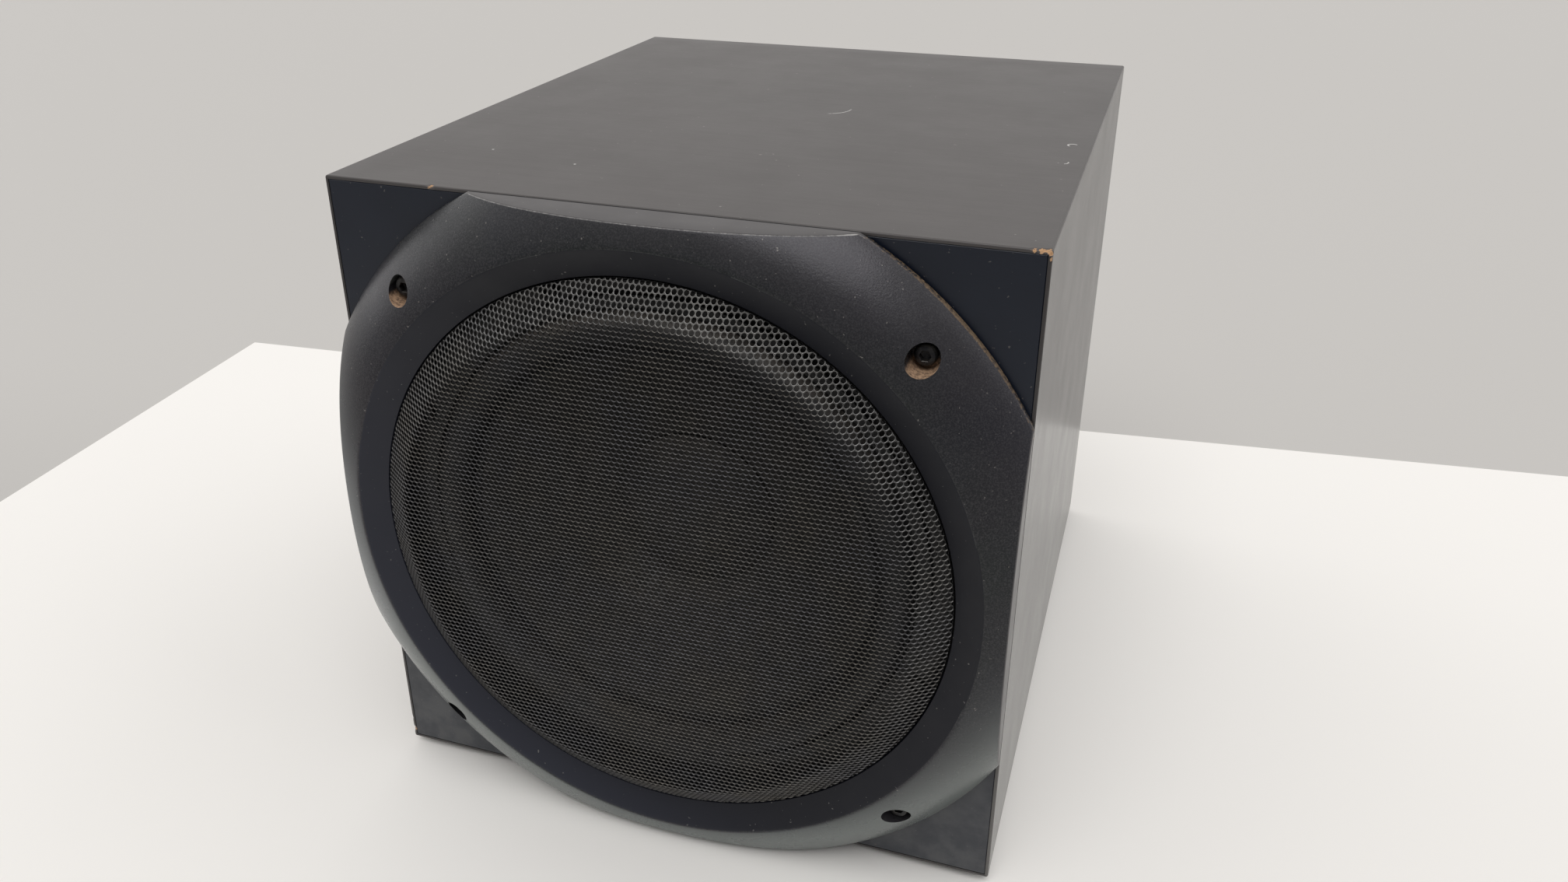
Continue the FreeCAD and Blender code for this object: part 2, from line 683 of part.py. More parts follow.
def terminal_block():
    """The housing, with a slot and a wire hole for each lever and a bore along each row for the hinge rod."""
    width, height = block_width(), block_height()
    body = plate("terminal_block", plate_face, BLOCK_FACE, width, height, D.block_across, D.block_up)
    add_block(body, -6, plate_face, width - 9, height - 9, D.block_across, D.block_up)
    slots = sketch_on(body, "XY_Plane", BLOCK_FACE)
    for _, across, up in pivot_spots():
        rectangle(slots, across, up + 5.1, D.lever_width + 0.8, 15.4)
    pocket(body, slots, 8)
    drill(body, 8, 9, [(across, up + 6) for _, across, up in pivot_spots()], 1.6)
    rods = sketch_on(body, "YZ_Plane", D.block_across + width / 2)
    circles(rods, row_spots(), 1.04)
    pocket(body, rods, width)
    finish(body, REAR_ORIGIN, REAR)

    pins = new_body("terminal_rods", several=True)
    ends = sketch_on(pins, "YZ_Plane", D.block_across + width / 2)
    circles(ends, row_spots(), 1)
    pad(pins, ends, width, backwards=True)
    finish(pins, REAR_ORIGIN, REAR)


def row_spots():
    """The two hinge rods, seen along them."""
    return [(D.block_up + D.row_pitch * rise - 5.2, PIVOT_RISE) for rise in (0.5, -0.5)]


def levers():
    """Ten sprung levers, each on the rod of its row."""
    for label, across, up in pivot_spots():
        body = new_body(label)
        sketch = sketch_on(body, "YZ_Plane", across - D.lever_width / 2)
        profile = [(-1.9, -1.9), (1.7, -2), (10.6, 2.6), (10.6, 6.4), (8, 6.6), (-1.9, 2.2)]
        outline(sketch, [(up + step, PIVOT_RISE + rise) for step, rise in profile])
        circles(sketch, [(up, PIVOT_RISE)], 1.06)
        pad(body, sketch, D.lever_width)
        finish(body, REAR_ORIGIN, REAR)


# ---------------------------------------------------------------- sockets, switch and fuse


def control_socket():
    """The multi-way socket for the control unit, and its two threaded posts."""
    across, up = D.socket_across, D.socket_up
    body = plate("control_socket", plate_face, plate_face + 1, 31, 12.6, across, up)
    add_block(body, -8, plate_face, 19, 10, across, up)
    shell = sketch_on(body, "XY_Plane", plate_face + 1)
    outline(shell, [(across - 7.6, up - 4.1), (across + 7.6, up - 4.1), (across + 8.6, up + 4.1),
                    (across - 8.6, up + 4.1)])
    pad(body, shell, 5)
    ways = [(2.3 * (step - 2) + 0.6 * (row % 2), 2 * (row - 1)) for row in range(3) for step in range(5)]
    drill(body, plate_face + 6, 5, [(across + step, up + rise) for step, rise in ways], 0.5)
    posts = [(across + side * 12.5, up) for side in (-1, 1)]
    drill(body, plate_face + 1, 1, posts, 1.6)
    finish(body, REAR_ORIGIN, REAR)

    pair = new_body("socket_posts", several=True)
    hexes = sketch_on(pair, "XY_Plane", plate_face + 1)
    for post_across, post_up in posts:
        outline(hexes, hexagon(post_across, post_up, 2.7))
    pad(pair, hexes, 5)
    studs = sketch_on(pair, "XY_Plane", plate_face + 1)
    circles(studs, posts, 1.5)
    pad(pair, studs, 1, backwards=True)
    drill(pair, plate_face + 6, 4, posts, 1.3)
    finish(pair, REAR_ORIGIN, REAR)


SWITCH_PIVOT = 2
SWITCH_TILT = 12


def power_switch():
    """The switch housing and its rocker, which rests tilted to off."""
    across, up = D.switch_across, D.power_row
    body = plate("switch_housing", plate_face, plate_face + 2, 19, 25, across, up)
    add_block(body, -12, plate_face, 15, 21, across, up)
    cut_block(body, plate_face + 2, 12, 11.8, 18.8, across, up)
    pivots = sketch_on(body, "YZ_Plane", across + 7.5)
    circles(pivots, [(up, SWITCH_PIVOT)], 1.26)
    pocket(body, pivots, 15)
    finish(body, REAR_ORIGIN, REAR)

    rocker = new_body("power_rocker")
    side = sketch_on(rocker, "YZ_Plane", -5.6)
    outline(side, [(-7.6, -3), (7.6, -3), (8.4, 5.3), (0, 3.5), (-8.4, 5.3)])
    pad(rocker, side, 11.2)
    axle = sketch_on(rocker, "YZ_Plane", -7.1)
    circles(axle, [(0, 0)], 1.2)
    pad(rocker, axle, 14.2)
    origin = (-across, REAR_ORIGIN[1] + SWITCH_PIVOT, REAR_ORIGIN[2] + up)
    finish(rocker, origin, REAR * FreeCAD.Rotation(vec(1, 0, 0), -SWITCH_TILT))


def fuse_holder():
    """The fuse holder and its quarter-turn cap."""
    origin = (-D.fuse_across, REAR_ORIGIN[1], REAR_ORIGIN[2] + D.power_row)
    holder = turned("fuse_holder", [
        (4.58, plate_face + 2), (4.58, -26), (0, -26), (0, -28), (6.3, -28), (6.3, plate_face),
        (8.5, plate_face), (8.5, plate_face + 2),
    ])
    finish(holder, origin, REAR)
    cap = turned("fuse_cap", [
        (0, -4), (4.5, -4), (4.5, plate_face + 2.3), (6.4, plate_face + 2.3), (6.4, plate_face + 5.4),
        (5.6, plate_face + 6.2), (0, plate_face + 6.2),
    ])
    cut_block(cap, plate_face + 6.2, 1.6, 9, 1.4)
    finish(cap, origin, REAR)


def mains_inlet():
    """The three-pin mains inlet, with two cut corners."""
    across, up = D.inlet_across, D.power_row
    body = plate("mains_inlet", plate_face, plate_face + 3, 48, 26, across, up)
    add_block(body, -16, plate_face, 29, 22, across, up)
    cavity = sketch_on(body, "XY_Plane", plate_face + 3)
    side, rise, cut = 12.4, 8.4, 4
    outline(cavity, [(across - side, up - rise), (across + side, up - rise), (across + side, up + rise - cut),
                     (across + side - cut, up + rise), (across - side + cut, up + rise),
                     (across - side, up + rise - cut)])
    pocket(body, cavity, 18)
    ways = [(-7, 0), (7, 0), (0, 4)]
    slots = sketch_on(body, "XY_Plane", -11)
    for step, lift in ways:
        rectangle(slots, across + step, up + lift, 2, 4)
    pocket(body, slots, 5)
    finish(body, REAR_ORIGIN, REAR)
    pins = new_body("inlet_pins", several=True)
    blades = sketch_on(pins, "XY_Plane", -22)
    for step, lift in ways:
        rectangle(blades, across + step, up + lift, 1.96, 3.96)
    pad(pins, blades, 26)
    finish(pins, REAR_ORIGIN, REAR)


# ---------------------------------------------------------------- amplifier inside


def amplifier():
    """The amplifier board on its standoffs, the power transistors under the heat sink and the capacitors."""
    board_up = D.sink_height / 2 + 4
    face = D.plate_gasket - D.standoff_length
    posts = [(side * (D.board_width / 2 - 5), board_up + rise * 43) for side in (-1, 1) for rise in (-1, 1)]
    board = plate("amp_board", face - 1.6, face, D.board_width, D.sink_height - 4, 0, board_up)
    drill(board, face, 1.6, posts, 1.6)
    finish(board, REAR_ORIGIN, REAR)
    standoffs = new_body("board_standoffs", several=True)
    hexes = sketch_on(standoffs, "XY_Plane", face)
    for across, up in posts:
        outline(hexes, hexagon(across, up, 3.2))
    pad(standoffs, hexes, D.standoff_length)
    finish(standoffs, REAR_ORIGIN, REAR)

    transistors = new_body("power_transistors", several=True)
    cases = sketch_on(transistors, "XY_Plane", D.plate_gasket - 5)
    for step in range(6):
        rectangle(cases, 26 * (step - 2.5), board_up + 10, 15.6, 20)
    pad(transistors, cases, 5)
    finish(transistors, REAR_ORIGIN, REAR)

    cans = new_body("filter_capacitors", several=True)
    rounds = sketch_on(cans, "XY_Plane", face - 1.6)
    circles(rounds, [(-42, board_up), (-8, board_up)], 15)
    pad(cans, rounds, 42, backwards=True)
    finish(cans, REAR_ORIGIN, REAR)


def transformer():
    """The ring-core transformer on the bottom board, with its dished washer and bolt."""
    across, back = transformer_spot()
    floor = D.foot_height + D.board_thickness
    origin = (across, back, floor)
    high, outer = D.transformer_height, D.transformer_radius
    coil = turned("toroidal_transformer", [
        (18, 6), (24, 0), (outer - 10, 0, -10), (outer, 10), (outer, high - 10, -10), (outer - 10, high),
        (24, high), (18, high - 6),
    ])
    finish(coil, origin)
    washer = turned("transformer_washer", [
        (4.2, high - 4), (17, high - 4), (23, high + 0.2), (42, high + 0.2), (42, high + 1.7),
        (22.4, high + 1.7), (16.4, high - 2.5), (4.2, high - 2.5),
    ])
    finish(washer, origin)
    bolt = screws("transformer_bolt", [(0, 0)], high - 2.5, 7, 5, 4, high + 9, 3.2)
    finish(bolt, origin)


def speaker_lead():
    """The lead from the amplifier board to the driver's tabs: straight runs joined by tangent arcs."""
    route = [
        vec(30, 142, 238), vec(30, 118, 238), vec(22, 92, 262), vec(14, 52, 268), vec(6, 4, 262),
        vec(0, -40, 252), vec(0, -74, 246), vec(0, -92.5, 242), vec(0, -94.6, 228.9),
    ]
    edges = []
    start = route[0]
    for before, corner, after in zip(route, route[1:], route[2:]):
        into = (corner - before).normalize()
        out = (after - corner).normalize()
        trim = 0.45 * min(corner.distanceToPoint(before), after.distanceToPoint(corner))
        first, last = corner - into * trim, corner + out * trim
        toward = (out - into).normalize()
        turn = into.getAngle(out)
        radius = trim / math.tan(turn / 2)
        middle = corner + toward * (radius / math.cos(turn / 2) - radius)
        if start.distanceToPoint(first) > 1e-6:
            edges.append(Part.LineSegment(start, first).toShape())
        edges.append(Part.Arc(first, middle, last).toShape())
        start = last
    edges.append(Part.LineSegment(start, route[-1]).toShape())
    path = Part.Wire(edges)
    section = Part.Wire(Part.Circle(route[0], route[1] - route[0], 2).toShape())
    lead = doc.addObject("Part::Feature", "speaker_lead")
    lead.Label = "speaker_lead"
    lead.Shape = path.makePipeShell([section], True, False)
    finish(lead, (0, 0, 0))


# ---------------------------------------------------------------- build and write


def check(piece):
    """Stop with a plain message when a sub-part did not come out whole."""
    if "Invalid" in piece.State or "Error" in piece.State:
        raise RuntimeError(f"{piece.Label}: {piece.State}")
    if piece.Shape.isNull() or not piece.Shape.isValid() or not piece.Shape.Solids:
        raise RuntimeError(f"{piece.Label}: no valid solid")


def write_parts():
    os.makedirs("parts", exist_ok=True)
    for item in doc.Objects:
        if "Invalid" in item.State or "Error" in item.State:
            raise RuntimeError(f"{item.Name}: {item.State}")
    for piece in subparts:
        check(piece)
    for piece in subparts:
        piece.Shape.exportStep(f"parts/{piece.Label}.step")
        print(f"{piece.Label}: {len(piece.Shape.Solids)} solid(s), {piece.Shape.Volume / 1000:.1f} cm3")


case_boards()
front_baffle()
rear_panel()
feet()
port()
front_bezel()
bezel_fixings()
grille()
driver_basket()
suspension()
moving_parts()
motor()
driver_connections()
plate_and_sink()
terminal_block()
levers()
control_socket()
power_switch()
fuse_holder()
mains_inlet()
amplifier()
transformer()
speaker_lead()
doc.recompute()
write_parts()
print(f"{len(subparts)} sub-parts")
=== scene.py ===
import json
import math

import bmesh
import bpy
import numpy as np
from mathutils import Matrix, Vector, noise


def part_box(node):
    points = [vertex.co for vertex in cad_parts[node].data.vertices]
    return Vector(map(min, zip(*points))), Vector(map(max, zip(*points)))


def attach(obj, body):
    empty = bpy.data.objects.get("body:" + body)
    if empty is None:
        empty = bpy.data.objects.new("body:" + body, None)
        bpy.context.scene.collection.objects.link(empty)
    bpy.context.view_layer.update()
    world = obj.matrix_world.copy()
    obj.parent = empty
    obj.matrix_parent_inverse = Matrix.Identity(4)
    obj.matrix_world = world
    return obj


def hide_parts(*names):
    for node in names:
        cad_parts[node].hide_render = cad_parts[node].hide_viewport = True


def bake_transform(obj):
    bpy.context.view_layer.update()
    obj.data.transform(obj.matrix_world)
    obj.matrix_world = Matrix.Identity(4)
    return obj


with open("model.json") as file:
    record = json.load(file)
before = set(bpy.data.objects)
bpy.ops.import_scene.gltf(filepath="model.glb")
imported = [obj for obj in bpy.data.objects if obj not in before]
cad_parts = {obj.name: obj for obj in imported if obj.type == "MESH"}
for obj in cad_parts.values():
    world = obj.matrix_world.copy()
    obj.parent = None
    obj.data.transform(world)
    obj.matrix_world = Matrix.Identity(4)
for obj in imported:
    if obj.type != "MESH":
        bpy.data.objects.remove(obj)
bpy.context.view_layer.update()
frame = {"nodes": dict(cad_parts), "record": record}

# Looks for a ported subwoofer. Lengths are millimetres in the mesh code and metres in Blender.
# The front faces -Y, the top faces +Z, and the object stands on z = 0.

MM = 0.001
node_object = frame["nodes"]


def span(node):
    """A CAD node's box in millimetres, as two arrays."""
    low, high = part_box(node)
    return np.array(low) / MM, np.array(high) / MM


top_low, top_high = span("top_panel")
HALF = (top_high[0] - top_low[0]) / 2
FRONT_Y = top_low[1]
CASE_BACK = top_high[1]
TOP_Z = top_high[2]
AXIS_Z = TOP_Z - HALF
REAR_Y = span("rear_panel")[1][1]
GRILLE_FRONT = FRONT_Y - span("grille")[0][1]
port_low, port_high = span("port_flare")
PORT_Y, PORT_Z = ((port_low + port_high) / 2)[1:]
BOARD, RECESS = 15.0, 1.5  # The boards' thickness, and the rebate round the front board.
FOOT_SPOTS = [(side * 127.5, FRONT_Y + back) for side in (-1, 1) for back in (26, 327)]


def frame_map(rows, origin):
    """A map from local (x, y, z), with z outward from a face, to the row frame."""
    return lambda points: np.asarray(points, float).reshape(-1, 3) @ np.array(rows, float).T + origin


front = frame_map(((1, 0, 0), (0, 0, -1), (0, 1, 0)), (0, FRONT_Y, AXIS_Z))
rear = frame_map(((-1, 0, 0), (0, 0, 1), (0, 1, 0)), (0, REAR_Y, AXIS_Z))
left = frame_map(((0, 0, -1), (-1, 0, 0), (0, 1, 0)), (-HALF, PORT_Y, PORT_Z))
below = frame_map(((1, 0, 0), (0, -1, 0), (0, 0, -1)), (0, 0, 0))


# ---------------- mesh helpers


def mesh_object(name, points, faces, attributes=None):
    """A linked mesh object from points in millimetres, with values by point."""
    mesh = bpy.data.meshes.new(name)
    mesh.from_pydata((np.asarray(points) * MM).tolist(), [], [tuple(map(int, face)) for face in faces])
    obj = bpy.data.objects.new(name, mesh)
    bpy.context.scene.collection.objects.link(obj)
    for key, values in (attributes or {}).items():
        layer = mesh.attributes.new(key, "FLOAT", "POINT")
        layer.data.foreach_set("value", np.asarray(values, np.float32))
    return obj


def name_parts(obj, slot, stands_for=None, paint=None):
    """Give an object the material of its slot, or a given paint, and hide the CAD node that it stands for."""
    obj.data.materials.append(paint or material_of[slot])
    if stands_for:
        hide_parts(stands_for)


def piece(name, points, faces, slot, stands_for=None, body="cabinet", sharp=35, attributes=None, paint=None):
    """A mesh object in the row frame that rides on a body."""
    obj = mesh_object(name, points, faces, attributes)
    tidy_normals(obj.data, sharp)
    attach(obj, body)
    name_parts(obj, slot, stands_for, paint)
    return obj


def tidy_normals(mesh, sharp=35):
    """Outward faces, smooth except across edges sharper than the angle."""
    work = bmesh.new()
    work.from_mesh(mesh)
    bmesh.ops.remove_doubles(work, verts=work.verts, dist=2e-7)
    bmesh.ops.dissolve_degenerate(work, dist=1e-7, edges=work.edges)
    bmesh.ops.recalc_face_normals(work, faces=work.faces)
    work.to_mesh(mesh)
    work.free()
    smooth(mesh, sharp)


def smooth(mesh, sharp=35):
    mesh.shade_smooth()
    mesh.set_sharp_from_angle(angle=math.radians(sharp))


def softened(profile, radius, steps):
    """A closed outline with its corners rounded."""
    points = np.array(profile, float)
    made = []
    for i, here in enumerate(points):
        back, ahead = points[i - 1] - here, points[(i + 1) % len(points)] - here
        reach = min(radius, 0.45 * np.linalg.norm(back), 0.45 * np.linalg.norm(ahead))
        first = here + back / np.linalg.norm(back) * reach
        last = here + ahead / np.linalg.norm(ahead) * reach
        for t in np.arange(steps + 1) / steps:
            made.append((1 - t) ** 2 * first + 2 * t * (1 - t) * here + t * t * last)
    return np.array(made)


def lathe_mesh(profile, turns=96, closed=True):
    """Points and faces of a (radius, height) outline turned about the local z axis."""
    profile = np.asarray(profile, float)
    count = len(profile)
    angle = np.linspace(0, 2 * math.pi, turns, endpoint=False)
    around = [np.outer(wave(angle), profile[:, 0]) for wave in (np.cos, np.sin)]
    points = np.stack(around + [np.tile(profile[:, 1], (turns, 1))], -1).reshape(-1, 3)
    return points, turned_faces(turns, count, count if closed else count - 1)


def turned_faces(turns, count, sides):
    """Faces of a turned outline of count points, of which sides edges have a face."""
    a, b = np.meshgrid(np.arange(turns), np.arange(sides), indexing="ij")
    a2, b2 = (a + 1) % turns, (b + 1) % count
    return np.stack([a * count + b, a2 * count + b, a2 * count + b2, a * count + b2], -1).reshape(-1, 4)


def lathe(name, profile, to_frame=front, turns=96, **rest):
    points, faces = lathe_mesh(profile, turns)
    return piece(name, to_frame(points), faces, **rest)


def merged(parts):
    """Several (points, faces) as one."""
    points, faces, start = [], [], 0
    for some_points, some_faces in parts:
        points.append(np.asarray(some_points, float))
        faces += [tuple(int(i) + start for i in face) for face in some_faces]
        start += len(some_points)
    return np.concatenate(points), faces


def cut_away(obj, to_frame, solid):
    """Cut a closed mesh out of an object."""
    points, faces = solid
    cutter = mesh_object("cutter", to_frame(points), faces)
    tidy_normals(cutter.data)
    modifier = obj.modifiers.new("cut", "BOOLEAN")
    modifier.operation, modifier.solver, modifier.object = "DIFFERENCE", "EXACT", cutter
    graph = bpy.context.evaluated_depsgraph_get()
    made = bpy.data.meshes.new_from_object(obj.evaluated_get(graph), depsgraph=graph)
    obj.modifiers.clear()
    old, obj.data = obj.data, made
    bpy.data.meshes.remove(old)
    old = cutter.data
    bpy.data.objects.remove(cutter)
    bpy.data.meshes.remove(old)


def drum(radius, low, high, across=0.0, up=0.0, turns=64):
    """Points and faces of a closed cylinder along the local z axis."""
    points, faces = lathe_mesh([(0, low), (radius, low), (radius, high), (0, high)], turns, closed=False)
    return points + (across, up, 0), faces


def tube_faces(rows, count):
    """Four-sided faces between rows of points, each row a closed ring of count points."""
    faces = []
    for row in range(rows - 1):
        for i in range(count):
            j = (i + 1) % count
            faces.append((row * count + i, row * count + j, (row + 1) * count + j, (row + 1) * count + i))
    return faces


def screw_mesh(across, up, seat, head, height, shank, length, socket):
    """A pan-headed machine screw with a hexagon socket, along the local z axis."""
    turns = 48
    angle = np.linspace(0, 2 * math.pi, turns, endpoint=False)
    hex_reach = socket * math.cos(math.pi / 6) / np.cos((angle % (math.pi / 3)) - math.pi / 6)
    rows = [
        (0, -length), (shank - 0.4, -length), (shank, 0.5 - length), (shank, -0.01), (head - 0.15, 0), (head, 0.2),
        (head, height * 0.55), (head * 0.96, height * 0.8), (head * 0.84, height * 0.96), (head * 0.7, height),
        (hex_reach * 1.08, height), (hex_reach, height - 0.15), (hex_reach, height * 0.42), (0, height * 0.3),
    ]
    points = [(across + size * np.cos(angle), up + size * np.sin(angle), np.full(turns, seat + level))
              for size, level in rows]
    return np.concatenate([np.column_stack(row) for row in points]), tube_faces(len(rows), turns)


def screws(name, node, spots, to_frame, *sizes):
    points, faces = merged([screw_mesh(x, y, *sizes) for x, y in spots])
    piece(name, to_frame(points), faces, "black_screw", node, sharp=32)


def ring_of(count, radius, first=0.0):
    return [(radius * math.cos(math.radians(first + 360 * i / count)),
             radius * math.sin(math.radians(first + 360 * i / count))) for i in range(count)]


def corners_of(width, height):
    return [(side * width / 2, rise * height / 2) for side in (-1, 1) for rise in (-1, 1)]


# ---------------- camera, floor and light


def studio():
    scene = bpy.context.scene
    data = bpy.data.cameras.new("camera")
    camera = bpy.data.objects.new("camera", data)
    scene.collection.objects.link(camera)
    camera.location = (0.1901, -0.5879, 0.4572)
    camera.rotation_euler = [math.radians(turn) for turn in (64.14, -0.11, 18.21)]
    data.sensor_width, data.lens = 36.0, 28.275
    data.shift_x, data.shift_y = 0.0041, -0.0314
    scene.camera = camera
    scene.view_settings.view_transform = "Standard"

    near = [(-530, -750), (-576, -40), (-596, 255), (137, 316), (502, 357), (1700, 490), (1700, -750)]
    far = [(-6000, -6000), (6000, -6000), (6000, 6000), (-6000, 6000)]
    # Both floors grow darker towards the front, a painted shade.
    for name, outline, level, colour, *painted_shade_fall in (
        ("floor", near, 0.0, (0.87, 0.85, 0.82), (0.315, -0.949, 0), 0.24, 0.6, 0.55),
        ("far_floor", far, -0.6, (0.52, 0.505, 0.485), (0, -1, 0), -0.2, 0.8, 0.6),
    ):
        obj = mesh_object(name, [(x, y, level) for x, y in outline], [range(len(outline))])
        obj.data.materials.append(paper(name, colour, *painted_shade_fall))

    scene.world = bpy.data.worlds.new("studio")
    scene.world.use_nodes = True
    sky = Nodes(scene.world.node_tree)
    sky.tree.nodes.clear()
    parts = sky.xyz(sky.add("TexCoord").outputs["Generated"])
    level = sky.plus(sky.times(parts["Z"], 0.5), sky.times(parts["Y"], 0.5))
    level = sky.plus(level, sky.times(parts["X"], -0.45))
    behind = sky.scaled(level, -0.35, 0.55, 0.0, 1.0)
    colour = sky.blend(behind, (0.12, 0.122, 0.13), (0.72, 0.705, 0.69))
    glow = sky.add("Background", {"Color": colour, "Strength": 1.0})
    sky.tree.links.new(glow.outputs[0], sky.add("OutputWorld").inputs["Surface"])

    for name, place, spread, power in (
        ("overhead", (0.12, -0.53, 1.0), 50, 1.44),
        ("key", (0.8, 0.3, 0.6), 60, 0.64),
        ("fill", (-1.0, 0.2, 0.16), 60, 0.5),
    ):
        lamp = bpy.data.lights.new(name, "SUN")
        lamp.angle, lamp.energy = math.radians(spread), power
        obj = bpy.data.objects.new(name, lamp)
        scene.collection.objects.link(obj)
        obj.rotation_euler = (-Vector(place)).to_track_quat("-Z", "Y").to_euler()


# ---------------- material helpers


class Nodes:
    """Short calls for the shader nodes of one tree. Lengths are in metres."""

    def __init__(self, tree):
        self.tree = tree

    def add(self, kind, values=None, **settings):
        """A node with its settings, and its inputs set to numbers or linked to sockets."""
        made = self.tree.nodes.new("ShaderNode" + kind)
        for key, value in settings.items():
            setattr(made, key, value)
        for key, value in (values or {}).items():
            if isinstance(value, bpy.types.NodeSocket):
                self.tree.links.new(value, made.inputs[key])
            else:
                made.inputs[key].default_value = value
        return made

    def maths(self, operation, first, second=0.0, clamp=False):
        return self.add("Math", {0: first, 1: second}, operation=operation, use_clamp=clamp).outputs[0]

    def times(self, first, second):
        return self.maths("MULTIPLY", first, second)

    def plus(self, first, second, clamp=False):
        return self.maths("ADD", first, second, clamp)

    def minus(self, first, second):
        return self.maths("SUBTRACT", first, second)

    def most(self, first, second):
        return self.maths("MAXIMUM", first, second)

    def scaled(self, value, low, high, to_low=0.0, to_high=1.0):
        """A smooth map of a value from one range to another."""
        return self.add("MapRange", {0: value, 1: low, 2: high, 3: to_low, 4: to_high},
                        interpolation_type="SMOOTHSTEP").outputs[0]

    def blend(self, share, first, second):
        """From the first colour to the second. A colour is a socket or three numbers."""
        first, second = (colour if isinstance(colour, bpy.types.NodeSocket) else tuple(colour) + (1,)
                         for colour in (first, second))
        return self.add("Mix", {0: share, 6: first, 7: second}, data_type="RGBA").outputs[2]

    def place(self):
        return self.add("TexCoord").outputs["Object"]

    def xyz(self, vector=None):
        """The parts of a vector, or of the place on the object."""
        return self.add("SeparateXYZ", {0: self.place() if vector is None else vector}).outputs

    def facing(self):
        return self.xyz(self.add("NewGeometry").outputs["Normal"])

    def speckle(self, scale, detail=3.0, roughness=0.55, shift=(0, 0, 0), stretch=(1, 1, 1)):
        """Noise by place, with scale in waves per metre."""
        coords = self.add("Mapping", {"Vector": self.place(), "Scale": stretch, "Location": shift})
        made = self.add("TexNoise", {"Vector": coords.outputs[0], "Scale": scale, "Detail": detail,
                                     "Roughness": roughness})
        return made.outputs["Fac"]

    def patch(self, noise_values, low, high, to_low=0.0, to_high=1.0):
        """Noise mapped from one range to another."""
        return self.scaled(self.speckle(*noise_values), low, high, to_low, to_high)

    def bump(self, height, distance, strength=1.0, under=None):
        values = {"Height": height, "Distance": distance, "Strength": strength}
        if under is not None:
            values["Normal"] = under
        return self.add("Bump", values).outputs[0]

    def attribute(self, name):
        return self.add("Attribute", attribute_name=name).outputs["Fac"]

    def near(self, centre, axes, inner, outer):
        """1 within inner metres of a line or point, 0 beyond outer. Axes are those that count."""
        flat = self.add("VectorMath", {0: self.place(), 1: axes}, operation="MULTIPLY").outputs[0]
        there = tuple(c * a for c, a in zip(centre, axes))
        gap = self.add("VectorMath", {0: flat, 1: there}, operation="DISTANCE").outputs["Value"]
        return self.scaled(gap, inner, outer, 1.0, 0.0)

    def scratch(self, centre, radius, turns, width):
        """A thin arc on a level surface, about a centre, between two angles in radians."""
        parts = self.xyz()
        x, y = self.minus(parts["X"], centre[0]), self.minus(parts["Y"], centre[1])
        reach = self.maths("SQRT", self.plus(self.times(x, x), self.times(y, y)))
        off = self.maths("ABSOLUTE", self.minus(reach, radius))
        line = self.scaled(off, width * 0.4, width, 1.0, 0.0)
        angle = self.minus(self.maths("ARCTAN2", y, x), sum(turns) / 2)
        half = (turns[1] - turns[0]) / 2
        spread = self.add("Math", {0: angle, 1: math.pi, 2: -math.pi}, operation="WRAP").outputs[0]
        ends = self.scaled(self.maths("ABSOLUTE", spread), half * 0.75, half, 1.0, 0.0)
        broken = self.patch((900, 3), 0.36, 0.5, 0.25, 1.0)
        return self.times(self.times(line, ends), broken)

    def broken_edge(self, fray, low, high):
        """Where a chipped edge shows bare board, with a ragged border."""
        ragged = self.patch((900, 3), 0.2, 0.8, -fray, fray)
        return self.scaled(self.plus(self.attribute("chip"), ragged), low, high)


class Paint(Nodes):
    """A new material, with uniform values set on the shader itself."""

    def __init__(self, name, **values):
        self.material = bpy.data.materials.new(name)
        self.material.use_nodes = True
        super().__init__(self.material.node_tree)
        self.core = self.tree.nodes["Principled BSDF"]
        for key, value in values.items():
            self.core.inputs[key.replace("_", " ")].default_value = value

    def over(self, share, colour):
        """Lay a colour over the tone so far."""
        self.tone = self.blend(share, self.tone, colour)

    def finish(self, **links):
        """Link the tone and the other sockets to the shader, and give the material."""
        for key, socket in dict(Base_Color=self.tone, **links).items():
            self.tree.links.new(socket, self.core.inputs[key.replace("_", " ")])
        return self.material


def paper(name, colour, way, low, high, shade_depth):
    """A plain studio surface whose tone falls softly along one direction: a painted shade, darker towards the
    front.
    """
    p = Paint(name, Roughness=0.75)
    place = p.add("VectorMath", {0: p.place(), 1: way}, operation="DOT_PRODUCT").outputs["Value"]
    p.tone = p.blend(p.scaled(place, low, high), colour, tuple(c * shade_depth for c in colour))
    return p.finish()


def finish_of(name, colour, second, scale, rough, metallic=0.0, grain=900, relief=20, dust=0.0, coat=0.0,
              stretch=(1, 1, 1)):
    """A general surface: two mottled colours, uneven gloss, a fine grain in relief and a little dust.

    Scale and grain are in waves per metre, relief is in micrometres.
    """
    p = Paint(name, Metallic=metallic, Coat_Weight=coat, Coat_Roughness=0.2)
    second = second or tuple(c * 0.7 for c in colour)
    mottle = p.scaled(p.speckle(scale, 3, 0.6, stretch=stretch), 0.35, 0.65)
    p.tone = p.blend(mottle, colour, second)
    fine = p.speckle(grain, 4, 0.6, (0.3, 0.1, 0.7), stretch)
    gloss = p.scaled(p.speckle(scale * 2.3, 4, 0.6, (0.9, 0.4, 0.2), stretch), 0.3, 0.7, *rough)
    if dust:
        upward = p.scaled(p.facing()["Z"], 0.2, 0.95, 0.0, dust)
        settled = p.times(upward, p.patch((220, 6, 0.7), 0.35, 0.6, 0.2, 1.0))
        p.over(settled, (0.33, 0.29, 0.25))
    return p.finish(Roughness=gloss, Normal=p.bump(fine, relief * 1e-6))


